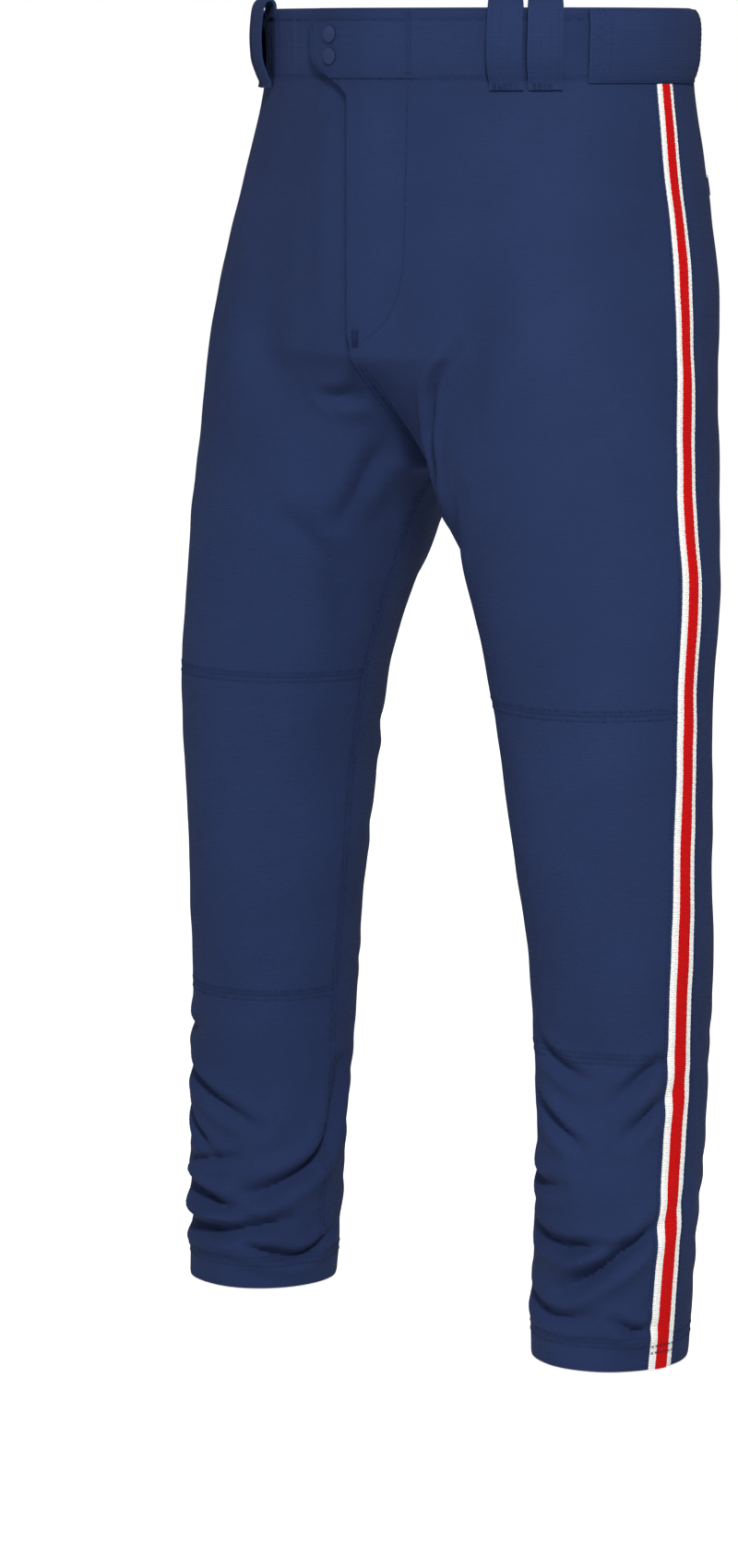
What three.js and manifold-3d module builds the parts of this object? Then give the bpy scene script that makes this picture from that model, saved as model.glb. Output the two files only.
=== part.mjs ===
// Long baseball pants: open bottoms, tunnel belt loops, snap-tab waistband,
// zip fly, double knees and a three-colour side braid.
//
// Millimetres, +Z up. The origin is the centre of the waist opening, level with the top edge of
// the waistband. The wearer faces -Y, and the wearer's left is +X.

import * as THREE from "three";
import Module from "manifold-3d";
import { mergeVertices } from "three/addons/utils/BufferGeometryUtils.js";

const wasm = await Module();
wasm.setup();

// ---------- driving dimensions ----------

// lengths down the body
const BAND_HEIGHT = 48;
const RISE = 325; // waistband top to crotch
const THIGH_LENGTH = 155; // crotch to the upper knee seam
const KNEE_LENGTH = 242; // upper to lower knee seam
const SHIN_LENGTH = 223; // lower knee seam to hem edge
const HEM_HEIGHT = 21;
const HIP_DROP = 200; // waistband top to the fullest part of the hips
const SEAT_DROP = 150; // where the back seam starts to turn under
const UPPER_THIGH_DROP = 75; // below the crotch

// body sections, half sizes
const WAIST_HALF_WIDTH = 167;
const WAIST_HALF_DEPTH = 130;
const HIP_HALF_WIDTH = 203;
const SEAT_HALF_WIDTH = 214; // at the crotch
const SEAT_DEPTH = 140; // centre back, behind the waist centre

// legs: centre out from the middle, set forward (-Y), half width and half depth
const HIP_SECTION = { forward: 20, halfDepth: 113 };
const CROTCH_SECTION = { forward: 27, halfDepth: 104 };
const THIGH_SECTION = { centre: 138, forward: 31, halfWidth: 86, halfDepth: 89 };
const KNEE_TOP_SECTION = { centre: 151, forward: 39, halfWidth: 78, halfDepth: 78 };
const KNEE_END_SECTION = { centre: 168, forward: 34, halfWidth: 62, halfDepth: 62 };
const HEM_SECTION = { centre: 169, forward: 47, halfWidth: 55, halfDepth: 56 };

// how far the side seam sits from the exact side, from -1, the front, to 1, the back
const SEAM_DRIFT = { waist: 0.02, kneeTop: -0.01, kneeEnd: -0.065, hem: -0.06 };

// cloth
const CLOTH = 1.6;
const PLY = 1.4; // each ply of the waistband casing
const BAND_THICKNESS = 6;
const SEAM_GAP = 0.4; // between panels that meet edge to edge
const LAYER_GAP = 0.4; // between pieces that lie on each other
const LINING_GAP = 2.8; // behind a curved panel

// braid
const BRAID_WIDTH = 20;
const BRAID_GAP = 0.8;
const BRAID_THICKNESS = 1;
const STRIPE_WIDTH = 11;
const STRIPE_THICKNESS = 0.6;

// belt loops
const LOOP_WIDTH = 24;
const SIDE_LOOP_ANGLE = 38.5; // forward of the side, in degrees round the waist
const LOOP_GAP = 2.4; // between the two loops of a side
const LOOP_STANDOFF = 11;
const LOOP_RISE = 4; // above the waistband
const LOOP_DROP = 7; // below the waist seam
const TUNNEL_HALF_ANGLE = 26;
const BACK_TUNNEL_HALF_ANGLE = 24;
const TUNNEL_STANDOFF = 6.8;
const TUNNEL_DROP = 3;
// how fast the hips widen just below the band
const HIP_FLARE = (1.27 * (HIP_HALF_WIDTH - WAIST_HALF_WIDTH)) / (HIP_DROP - BAND_HEIGHT);

// fly and snap tab
const FLY_LENGTH = 190; // below the waistband
const FLY_LIFT = 5.2; // how far the overlap stands over the zip
const FLY_FOLD_TOP = 50; // where the overlap folds back, out from the centre, at the top edge
const FLY_FOLD_BOTTOM = 2;
const FLY_OVERLAP = 3; // past the centre front
const UNDERLAP = 20; // of the waistband below the tab
const TAB_REACH = 39;
const TAB_THICKNESS = 2.6;
const TAB_CORNER = 10;
const TAB_SLANT = 22; // height of the slanted lower corner

// snaps
const SNAP_X = -17.7;
const SNAP_DROP = 18;
const SNAP_SPACING = 15;
const SNAP_CAP_RADIUS = 6;
const SNAP_CAP_HEIGHT = 1.3;
const CAP_EDGE = 0.5;
const CAP_BEVEL = 1.2;
const CAP_RIM = 1;
const CAP_DISH = 0.2;
const SOCKET_RADIUS = 5;
const SOCKET_BORE = 2.4;
const SOCKET_HEIGHT = 1.6;
const STUD_CLEARANCE = 0.4;
const STUD_TOP_GAP = 0.7;
const SOCKET_GAP = 0.3;
const STUD_BASE = 0.9;

// zip
const ZIP_X = 12;
const SHIELD_REACH = { left: 28, right: 26 };
const ZIP_DEPTH = 4.6; // behind the outer face of the cloth
const FLY_GAP = 1; // between the panel and the facing
const TAPE_WIDTH = 20;
const TAPE_THICKNESS = 0.8;
const TOOTH_THICKNESS = 1.8;
const STOP_HEIGHT = 3;
const TOOTH_LENGTH = 3;
const TOOTH_PITCH = 3.4;
const TEETH_PER_SIDE = 45;
const TOOTH_FREE_GAP = 1; // between the two rows, for the slider's neck
const SLIDER_WIDTH = 9;
const SLIDER_HEIGHT = 11;
const SLIDER_PLATE = 0.8;
const SLIDER_CHANNEL = 2.4;
const PULL_LENGTH = 14;
const PULL_WIDTH = 5;
const PULL_THICKNESS = 0.9;

// pockets, lining and label
const POCKET_SPAN = [0.4, 0.78]; // share of the way from the side seam to the centre back
const POCKET_DROP = 118;
const WELT_HEIGHT = 13;
const POCKET_DEPTH = 150;
const BAG_RISE = 8; // the bag runs up behind the welt
const LABEL_WIDTH = 42;
const LABEL_HEIGHT = 30;
const LABEL_DROP = 8;
const LABEL_THICKNESS = 0.5;
const ELASTIC_MARGIN = 6;

// ---------- heights that follow ----------

const CROTCH_Z = -RISE;
const UPPER_THIGH_Z = CROTCH_Z - UPPER_THIGH_DROP;
const KNEE_TOP_Z = CROTCH_Z - THIGH_LENGTH;
const KNEE_END_Z = KNEE_TOP_Z - KNEE_LENGTH;
const HEM_Z = KNEE_END_Z - SHIN_LENGTH;
const FLY_END_Z = -BAND_HEIGHT - FLY_LENGTH;
const FRONT_TURN_Z = FLY_END_Z - 2; // where the front seam starts to turn under

const cloth = (color) => new THREE.MeshStandardMaterial({ color, roughness: 0.9, metalness: 0 });
const NAVY = cloth(0x2d3e62);
const NAVY_LINING = cloth(0x26345a);
const WHITE = cloth(0xf2f2f2);
const RED = cloth(0xc81414);
const ELASTIC = cloth(0xe8e8e4);
const METAL = new THREE.MeshStandardMaterial({ color: 0xb9bcc0, roughness: 0.35, metalness: 1 });
const NAVY_METAL = new THREE.MeshStandardMaterial({ color: 0x2b3a5e, roughness: 0.5, metalness: 0 });
const ZIP_PLASTIC = new THREE.MeshStandardMaterial({ color: 0x1d2845, roughness: 0.5, metalness: 0 });

const pants = new THREE.Group();

function add(name, geometry, material) {
  const mesh = new THREE.Mesh(geometry, material);
  mesh.name = name;
  pants.add(mesh);
  return mesh;
}

// ---------- closed bodies from stacked rings ----------

function signedVolume(points, triangles) {
  const normal = new THREE.Vector3();
  return triangles.reduce((sum, [a, b, c]) => {
    normal.crossVectors(points[b], points[c]);
    return sum + normal.dot(points[a]) / 6;
  }, 0);
}

function closedBody(points, triangles) {
  const outward = signedVolume(points, triangles) > 0;
  const facing = outward ? triangles : triangles.map(([a, b, c]) => [a, c, b]);
  const geometry = new THREE.BufferGeometry().setFromPoints(points);
  geometry.setIndex(facing.flat());
  geometry.computeVertexNormals();
  return geometry;
}

// Joins rings of equal point counts into one body. The end rings are closed by capTriangles, or
// joined to each other when there are none.
function loft(rings, capTriangles) {
  const size = rings[0].length;
  const steps = capTriangles ? rings.length - 1 : rings.length;
  const triangles = [];
  for (let r = 0; r < steps; r += 1) {
    const low = r * size;
    const high = ((r + 1) % rings.length) * size;
    for (let p = 0; p < size; p += 1) {
      const next = (p + 1) % size;
      triangles.push([low + p, low + next, high + next], [low + p, high + next, high + p]);
    }
  }
  if (capTriangles) {
    const top = (rings.length - 1) * size;
    capTriangles.forEach(([a, b, c]) => {
      triangles.push([a, c, b], [top + a, top + b, top + c]);
    });
  }
  return closedBody(rings.flat(), triangles);
}

// Caps for a ring that runs along one face and back along the other.
function stripCaps(columns) {
  const caps = [];
  for (let c = 0; c < columns - 1; c += 1) {
    const back = 2 * columns - 1 - c;
    caps.push([c, c + 1, back - 1], [c, back - 1, back]);
  }
  return caps;
}

const spread = (from, to, steps) =>
  Array.from({ length: steps + 1 }, (_, i) => from + ((to - from) * i) / steps);

// ---------- the shape of the cloth ----------

// A smooth curve through [height, value] stations, from the top one down.
function profileAt(stations, z) {
  const last = stations.length - 1;
  if (z >= stations[0][0]) return stations[0][1];
  if (z <= stations[last][0]) return stations[last][1];
  const below = stations.findIndex(([height]) => height <= z);
  const slope = (i) => {
    const before = stations[Math.max(i - 1, 0)];
    const after = stations[Math.min(i + 1, last)];
    return (after[1] - before[1]) / (after[0] - before[0]);
  };
  const [z0, v0] = stations[below - 1];
  const [z1, v1] = stations[below];
  const span = z1 - z0;
  const s = (z - z0) / span;
  const rise = s * s * (3 - 2 * s);
  const ease0 = s * (1 - s) * (1 - s) * span * slope(below - 1);
  const ease1 = s * s * (s - 1) * span * slope(below);
  return v0 + (v1 - v0) * rise + ease0 + ease1;
}

const outerX = (section) => section.centre + section.halfWidth;
const innerX = (section) => section.centre - section.halfWidth;

const SIDE_LINE = [
  [0, WAIST_HALF_WIDTH],
  [-BAND_HEIGHT, WAIST_HALF_WIDTH],
  [-HIP_DROP, HIP_HALF_WIDTH],
  [CROTCH_Z, SEAT_HALF_WIDTH],
  [UPPER_THIGH_Z, outerX(THIGH_SECTION)],
  [KNEE_TOP_Z, outerX(KNEE_TOP_SECTION)],
  [KNEE_END_Z, outerX(KNEE_END_SECTION)],
  [HEM_Z, outerX(HEM_SECTION)],
];
const LEG_FORWARD = [
  [0, 0],
  [-BAND_HEIGHT, 0],
  [-HIP_DROP, -HIP_SECTION.forward],
  [CROTCH_Z, -CROTCH_SECTION.forward],
  [UPPER_THIGH_Z, -THIGH_SECTION.forward],
  [KNEE_TOP_Z, -KNEE_TOP_SECTION.forward],
  [KNEE_END_Z, -KNEE_END_SECTION.forward],
  [HEM_Z, -HEM_SECTION.forward],
];
const LEG_HALF_DEPTH = [
  [0, WAIST_HALF_DEPTH],
  [-BAND_HEIGHT, WAIST_HALF_DEPTH],
  [-HIP_DROP, HIP_SECTION.halfDepth],
  [CROTCH_Z, CROTCH_SECTION.halfDepth],
  [UPPER_THIGH_Z, THIGH_SECTION.halfDepth],
  [KNEE_TOP_Z, KNEE_TOP_SECTION.halfDepth],
  [KNEE_END_Z, KNEE_END_SECTION.halfDepth],
  [HEM_Z, HEM_SECTION.halfDepth],
];
const BACK_DEPTH = [
  [0, WAIST_HALF_DEPTH],
  [-BAND_HEIGHT, WAIST_HALF_DEPTH],
  [-HIP_DROP, SEAT_DEPTH],
  [CROTCH_Z, SEAT_DEPTH],
];

// How far below the crotch, as a root, so that the gap between the legs opens as a round arch.
const LEG_LENGTH = CROTCH_Z - HEM_Z;
const archAt = (z) => Math.sqrt(Math.max(CROTCH_Z - z, 0) / LEG_LENGTH);
const INSEAM_LINE = [
  [0, 0],
  [-archAt(UPPER_THIGH_Z), innerX(THIGH_SECTION)],
  [-archAt(KNEE_TOP_Z), innerX(KNEE_TOP_SECTION)],
  [-archAt(KNEE_END_Z), innerX(KNEE_END_SECTION)],
  [-archAt(HEM_Z), innerX(HEM_SECTION)],
];

// The side seam drifts forward down the leg, by this share of t.
const SIDE_SEAM = [
  [-BAND_HEIGHT, SEAM_DRIFT.waist],
  [CROTCH_Z, 0],
  [KNEE_TOP_Z, SEAM_DRIFT.kneeTop],
  [KNEE_END_Z, SEAM_DRIFT.kneeEnd],
  [HEM_Z, SEAM_DRIFT.hem],
];
const sideSeamT = (z) => profileAt(SIDE_SEAM, z);

const smoothstep = (from, to, value) => THREE.MathUtils.smoothstep(value, from, to);

// How leg-shaped a section is, from 0, one ellipse round the body, to 1, a tube round each leg.
function legShare(z, t) {
  const slow = smoothstep(BAND_HEIGHT, -UPPER_THIGH_Z, -z);
  const turnZ = t < 0 ? FRONT_TURN_Z : -SEAT_DROP;
  const straight = t < 0 ? 0.75 : 0.45;
  const u = THREE.MathUtils.clamp((turnZ - z) / (turnZ - CROTCH_Z), 0, 1);
  const seam = straight * u + (1 - straight) * (1 - Math.sqrt(1 - u * u));
  const nearSeam = smoothstep(0.45, 0.8, Math.abs(t));
  return THREE.MathUtils.lerp(slow, seam, nearSeam);
}

// The fly overlap is lifted off the body by this much.
function flyLift(x, z) {
  const across = 1 - smoothstep(8, FLY_FOLD_TOP - 6, x);
  const down = smoothstep(FLY_END_Z - 30, FLY_END_Z, z);
  return FLY_LIFT * across * down;
}

// The outer face of the left half. t runs from -1, the front seam and inseam, over 0, the side
// seam, to 1, the back seam and inseam.
function facePoint(z, t) {
  const side = profileAt(SIDE_LINE, z);
  const inner = profileAt(INSEAM_LINE, -archAt(z));
  const middleY = profileAt(LEG_FORWARD, z);
  const depth = t < 0 ? WAIST_HALF_DEPTH + middleY : profileAt(BACK_DEPTH, z) - middleY;
  const round = (t * Math.PI) / 2;
  const body = new THREE.Vector2(side * Math.cos(round), middleY + depth * Math.sin(round));
  const centre = (side + inner) / 2;
  const reach = (side - inner) / 2;
  const turn = t * Math.PI;
  const legY = middleY + profileAt(LEG_HALF_DEPTH, z) * Math.sin(turn);
  const leg = new THREE.Vector2(centre + reach * Math.cos(turn), legY);
  body.lerp(leg, legShare(z, t));
  return new THREE.Vector3(body.x + SEAM_GAP / 2, body.y, z);
}

const PROBE = 0.002; // step in t
const PROBE_Z = 1;

function faceNormal(z, t) {
  const back = facePoint(z, Math.max(t - PROBE, -1));
  const ahead = facePoint(z, Math.min(t + PROBE, 1));
  const down = facePoint(Math.max(z - PROBE_Z, HEM_Z), t);
  const up = facePoint(Math.min(z + PROBE_Z, 0), t);
  const across = ahead.sub(back);
  return across.cross(up.sub(down)).normalize();
}

// A point at a height above the outer face, on either side.
function clothPoint(side, z, t, height) {
  const point = facePoint(z, t);
  const normal = faceNormal(z, t);
  const lift = side > 0 && t < 0 ? flyLift(point.x, z) : 0;
  point.addScaledVector(normal, height + lift);
  point.x = Math.max(point.x, SEAM_GAP / 2);
  point.x *= side;
  return point;
}

// A piece of cloth between two t limits, which may change with height.
function clothPatch(side, heights, tFrom, tTo, columns, outer, thickness) {
  const rings = heights.map((z) => {
    const across = spread(tFrom(z), tTo(z), columns);
    const front = across.map((t) => clothPoint(side, z, t, outer));
    const back = across.map((t) => clothPoint(side, z, t, outer - thickness));
    return [...front, ...back.reverse()];
  });
  return loft(rings, stripCaps(columns + 1));
}

const fixed = (value) => () => value;

// ---------- panels ----------

// The fold line of the overlap, out from the centre front.
function foldX(z) {
  const slope = (FLY_FOLD_TOP - FLY_FOLD_BOTTOM) / (BAND_HEIGHT + FLY_LENGTH);
  return Math.max(FLY_FOLD_TOP + slope * z, 0);
}

// Where a distance out from the centre front falls, as t.
function tAtX(x, z) {
  const side = profileAt(SIDE_LINE, z);
  return (-2 / Math.PI) * Math.acos(Math.min(x / side, 1));
}

const seamT = (z) => SEAM_GAP / 2 / (Math.PI * profileAt(LEG_HALF_DEPTH, z));

function frontEdgeT(side) {
  return (z) => {
    const inseam = -1 + seamT(z);
    if (side < 0 || z < FLY_END_Z) return inseam;
    return Math.max(tAtX(foldX(z), z), inseam);
  };
}

const ABOVE_CROTCH = [0.22, 0.42, 0.6, 0.75, 0.87, 0.95, 1];
const BELOW_CROTCH = [0.035, 0.13, 0.32, 0.62];

// Rows that gather where the crotch turns under.
const upperRows = [
  ...spread(-BAND_HEIGHT - SEAM_GAP, FLY_END_Z, 4),
  FRONT_TURN_Z,
  ...ABOVE_CROTCH.map((share) => THREE.MathUtils.lerp(FRONT_TURN_Z, CROTCH_Z, share)),
  ...BELOW_CROTCH.map((share) => THREE.MathUtils.lerp(CROTCH_Z, KNEE_TOP_Z, share)),
];
const seamBelow = (z) => z - SEAM_GAP / 2;
const seamAbove = (z) => z + SEAM_GAP / 2;
const hemTopZ = HEM_Z + HEM_HEIGHT;

for (const [label, side] of [["left", 1], ["right", -1]]) {
  const frontEdge = frontEdgeT(side);
  const beforeSide = (z) => sideSeamT(z) - seamT(z);
  const afterSide = (z) => sideSeamT(z) + seamT(z);
  const backEdge = (z) => 1 - seamT(z);
  const inseamFront = (z) => -1 + seamT(z);

  const thighRows = [...upperRows, seamAbove(KNEE_TOP_Z)];
  add(`front_panel_${label}`, clothPatch(side, thighRows, frontEdge, beforeSide, 9, 0, CLOTH), NAVY);

  const kneeRows = spread(seamBelow(KNEE_TOP_Z), seamAbove(KNEE_END_Z), 6);
  add(`knee_panel_${label}`, clothPatch(side, kneeRows, inseamFront, beforeSide, 9, 0, CLOTH), NAVY);

  const shinRows = spread(seamBelow(KNEE_END_Z), seamAbove(hemTopZ), 6);
  add(`shin_panel_${label}`, clothPatch(side, shinRows, inseamFront, beforeSide, 9, 0, CLOTH), NAVY);

  const backRows = [...upperRows, ...spread(KNEE_TOP_Z, seamAbove(hemTopZ), 9)];
  add(`back_panel_${label}`, clothPatch(side, backRows, afterSide, backEdge, 9, 0, CLOTH), NAVY);

  // the knee's second layer, sewn in behind it
  const liningRows = spread(KNEE_TOP_Z - 6, KNEE_END_Z + 6, 4);
  const liningHeight = -CLOTH - LINING_GAP;
  const liningEnd = (z) => sideSeamT(z) - 0.05;
  const liningGeometry = clothPatch(side, liningRows, fixed(-0.95), liningEnd, 7, liningHeight, 1);
  add(`knee_lining_${label}`, liningGeometry, NAVY_LINING);

  // turned-up hem: a ring of two plies with a flat lower edge
  const hemAngles = spread(-1, 1, 20).slice(0, -1);
  const hemRings = hemAngles.map((t) => [
    clothPoint(side, hemTopZ - SEAM_GAP / 2, t, 0),
    clothPoint(side, HEM_Z, t, 0),
    clothPoint(side, HEM_Z, t, -2 * CLOTH).setZ(HEM_Z),
    clothPoint(side, hemTopZ - SEAM_GAP / 2, t, -2 * CLOTH),
  ]);
  add(`hem_${label}`, loft(hemRings), NAVY);

  // side braid: a white tape with a red stripe along its middle
  const braidRows = spread(-BAND_HEIGHT - TUNNEL_DROP - 3 * SEAM_GAP, HEM_Z + SEAM_GAP, 24);
  const halfT = (width) => (z) => {
    const speed = facePoint(z, PROBE).distanceTo(facePoint(z, -PROBE)) / (2 * PROBE);
    return width / 2 / speed;
  };
  const about = (half) => [(z) => sideSeamT(z) - half(z), (z) => sideSeamT(z) + half(z)];
  const tapeT = halfT(BRAID_WIDTH);
  const stripeT = halfT(STRIPE_WIDTH);
  const tapeTop = BRAID_GAP + BRAID_THICKNESS;
  const stripeTop = tapeTop + LAYER_GAP + STRIPE_THICKNESS;
  const tape = clothPatch(side, braidRows, ...about(tapeT), 2, tapeTop, BRAID_THICKNESS);
  add(`braid_tape_${label}`, tape, WHITE);
  const stripe = clothPatch(side, braidRows, ...about(stripeT), 1, stripeTop, STRIPE_THICKNESS);
  add(`braid_stripe_${label}`, stripe, RED);

  // set-in back pocket: a welt outside and a bag inside
  const weltRows = spread(-POCKET_DROP, -POCKET_DROP - WELT_HEIGHT, 1);
  const [pocketFrom, pocketTo] = POCKET_SPAN;
  const weltTop = LAYER_GAP + CLOTH;
  const welt = clothPatch(side, weltRows, fixed(pocketFrom), fixed(pocketTo), 5, weltTop, CLOTH);
  add(`pocket_welt_${label}`, welt, NAVY);
  const bagRows = spread(-POCKET_DROP + BAG_RISE, -POCKET_DROP - POCKET_DEPTH, 4);
  const bagTop = -CLOTH - LINING_GAP;
  const bag = clothPatch(side, bagRows, fixed(pocketFrom + 0.02), fixed(pocketTo - 0.02), 5, bagTop, 1.2);
  add(`pocket_bag_${label}`, bag, NAVY_LINING);
}

// ---------- waistband and belt loops ----------

// A point round the waist: angle 0 is the left side and -90 the centre front.
function waistPoint(degrees, outward, z) {
  const angle = THREE.MathUtils.degToRad(degrees);
  const base = new THREE.Vector2(WAIST_HALF_WIDTH * Math.cos(angle), WAIST_HALF_DEPTH * Math.sin(angle));
  const normal = new THREE.Vector2(base.x / WAIST_HALF_WIDTH ** 2, base.y / WAIST_HALF_DEPTH ** 2);
  base.addScaledVector(normal.normalize(), outward);
  return new THREE.Vector3(base.x, base.y, z);
}

const angleAtX = (x) => THREE.MathUtils.radToDeg(Math.asin(x / WAIST_HALF_WIDTH)) - 90;

// Sweeps a closed [outward, z] outline round the waist from one angle to another.
function waistSweep(outline, fromAngle, toAngle, steps) {
  const caps = THREE.ShapeUtils.triangulateShape(outline.map(([r, z]) => new THREE.Vector2(r, z)), []);
  const rings = spread(0, 1, steps).map((share) =>
    outline.map(([r, z]) => waistPoint(THREE.MathUtils.lerp(fromAngle(z), toAngle(z), share), r, z)));
  return loft(rings, caps);
}

const inner = -BAND_THICKNESS;
const EDGE = 1.2; // chamfer along the top fold
const casingRoof = -PLY - LAYER_GAP;
const casing = [
  [0, -BAND_HEIGHT], [0, -EDGE], [-EDGE, 0], [inner + EDGE, 0], [inner, -EDGE], [inner, -BAND_HEIGHT],
  [inner + PLY, -BAND_HEIGHT], [inner + PLY, casingRoof], [-PLY, casingRoof], [-PLY, -BAND_HEIGHT],
];
const backSeamAngle = 90 - THREE.MathUtils.radToDeg(SEAM_GAP / 2 / WAIST_HALF_WIDTH);
const foldAngle = (z) => angleAtX(foldX(z) + SEAM_GAP / 2);
const underlapEnd = fixed(360 + angleAtX(UNDERLAP));
add("waistband_left", waistSweep(casing, foldAngle, fixed(backSeamAngle), 22), NAVY);
add("waistband_right", waistSweep(casing, fixed(180 - backSeamAngle), underlapEnd, 24), NAVY);

const elasticOuter = -PLY - 2 * LAYER_GAP;
const elasticInner = inner + PLY + 2 * LAYER_GAP;
const elasticTop = -PLY - 3 * LAYER_GAP;
const elasticLow = -BAND_HEIGHT + ELASTIC_MARGIN;
const elasticOutline = [
  [elasticOuter, elasticLow], [elasticOuter, elasticTop],
  [elasticInner, elasticTop], [elasticInner, elasticLow],
];
const elasticStart = fixed(angleAtX(FLY_FOLD_TOP + ELASTIC_MARGIN));
const elasticEnd = fixed(360 + angleAtX(UNDERLAP - ELASTIC_MARGIN));
add("waist_elastic", waistSweep(elasticOutline, elasticStart, elasticEnd, 40), ELASTIC);

// A belt loop stands off the band and is sewn down above and below it.
function loopOutline(standoff, rise, drop) {
  const low = -BAND_HEIGHT - drop;
  const foot = LAYER_GAP + drop * HIP_FLARE;
  const outer = [
    [foot, low], [foot + 2 * PLY, low], [standoff * 0.75, -BAND_HEIGHT + 4],
    [standoff, -BAND_HEIGHT * 0.6],
    [standoff, -BAND_HEIGHT * 0.3], [standoff * 0.8, -2], [standoff * 0.5, rise], [LAYER_GAP, rise],
  ];
  const inside = [
    [LAYER_GAP, rise - 2 * PLY], [standoff * 0.5 - PLY, rise - 2 * PLY], [standoff * 0.8 - PLY * 1.2, -5],
    [standoff - PLY, -BAND_HEIGHT * 0.3], [standoff - PLY, -BAND_HEIGHT * 0.6],
    [standoff * 0.75 - PLY, -BAND_HEIGHT + 5], [foot, low + 6],
  ];
  return [...outer, ...inside];
}

const arcSpeed = (degrees) => {
  const angle = THREE.MathUtils.degToRad(degrees);
  const speed = Math.hypot(WAIST_HALF_WIDTH * Math.sin(angle), WAIST_HALF_DEPTH * Math.cos(angle));
  return THREE.MathUtils.degToRad(speed);
};

const frontLoop = loopOutline(LOOP_STANDOFF, LOOP_RISE, LOOP_DROP);
const loopStep = (LOOP_WIDTH + LOOP_GAP) / arcSpeed(SIDE_LOOP_ANGLE + LOOP_WIDTH / 5);
const loopAngles = [SIDE_LOOP_ANGLE, SIDE_LOOP_ANGLE + loopStep];
const tunnel = loopOutline(TUNNEL_STANDOFF, PLY, TUNNEL_DROP);
for (const [label, side] of [["left", 1], ["right", -1]]) {
  loopAngles.forEach((forward, index) => {
    const middle = side > 0 ? -forward : 180 + forward;
    const half = LOOP_WIDTH / 2 / arcSpeed(forward);
    const name = `belt_loop_${label}_${index ? "front" : "side"}`;
    add(name, waistSweep(frontLoop, fixed(middle - half), fixed(middle + half), 2), NAVY);
  });
  const middle = side > 0 ? 0 : 180;
  const from = fixed(middle - TUNNEL_HALF_ANGLE);
  add(`belt_tunnel_${label}`, waistSweep(tunnel, from, fixed(middle + TUNNEL_HALF_ANGLE), 8), NAVY);
}
const backFrom = fixed(90 - BACK_TUNNEL_HALF_ANGLE);
add("belt_tunnel_back", waistSweep(tunnel, backFrom, fixed(90 + BACK_TUNNEL_HALF_ANGLE), 8), NAVY);

const labelOuter = inner - LAYER_GAP;
const labelInner = labelOuter - LABEL_THICKNESS;
const labelLow = -LABEL_DROP - LABEL_HEIGHT;
const labelOutline = [
  [labelOuter, labelLow], [labelOuter, -LABEL_DROP], [labelInner, -LABEL_DROP], [labelInner, labelLow],
];
const labelHalf = LABEL_WIDTH / 2 / arcSpeed(90);
add("care_label", waistSweep(labelOutline, fixed(90 - labelHalf), fixed(90 + labelHalf), 3), WHITE);

// ---------- fly and tab ----------

// A point over the front, at a height above its outer face.
function frontPoint(x, z, height) {
  const side = profileAt(SIDE_LINE, Math.min(z, -BAND_HEIGHT));
  const middleY = profileAt(LEG_FORWARD, Math.min(z, -BAND_HEIGHT));
  const depth = WAIST_HALF_DEPTH + middleY;
  const fall = -depth * Math.sqrt(1 - (x / side) ** 2);
  const y = middleY + fall;
  const normal = new THREE.Vector2(x / side ** 2, fall / depth ** 2).normalize();
  return new THREE.Vector3(x + normal.x * height, y + normal.y * height, z);
}

function frontPatch(heights, xFrom, xTo, columns, outer, thickness) {
  const rings = heights.map((z) => {
    const across = spread(xFrom(z), xTo(z), columns);
    const front = across.map((x) => frontPoint(x, z, outer(x, z)));
    const back = across.map((x) => frontPoint(x, z, outer(x, z) - thickness));
    return [...front, ...back.reverse()];
  });
  return loft(rings, stripCaps(columns + 1));
}

// The free edge of the tab and the overlap: round above, slanting in below.
const SLANT_END_Z = -BAND_HEIGHT - 10;
function freeEdgeX(z) {
  const corner = Math.max(z + TAB_CORNER, 0);
  const round = TAB_CORNER - Math.sqrt(TAB_CORNER ** 2 - corner ** 2);
  const slant = THREE.MathUtils.clamp((SLANT_END_Z + TAB_SLANT - z) / TAB_SLANT, 0, 1);
  return -TAB_REACH + round + slant * (TAB_REACH - FLY_OVERLAP);
}

const foldEdge = (z) => foldX(z) - SEAM_GAP / 2;
const tabLift = (x, z) => flyLift(x, Math.min(z, -BAND_HEIGHT)) + TAB_THICKNESS - CLOTH;
const tabRows = [0, -0.6, -2.4, -5.4, -10, -20, SLANT_END_Z + TAB_SLANT, -BAND_HEIGHT];
add("snap_tab", frontPatch(tabRows, freeEdgeX, foldEdge, 8, tabLift, TAB_THICKNESS), NAVY);
const flapRows = [-BAND_HEIGHT - SEAM_GAP, SLANT_END_Z, -90, -130, -170, -205, FLY_END_Z + 2];
add("fly_overlap", frontPatch(flapRows, freeEdgeX, foldEdge, 5, flyLift, CLOTH), NAVY);

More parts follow.
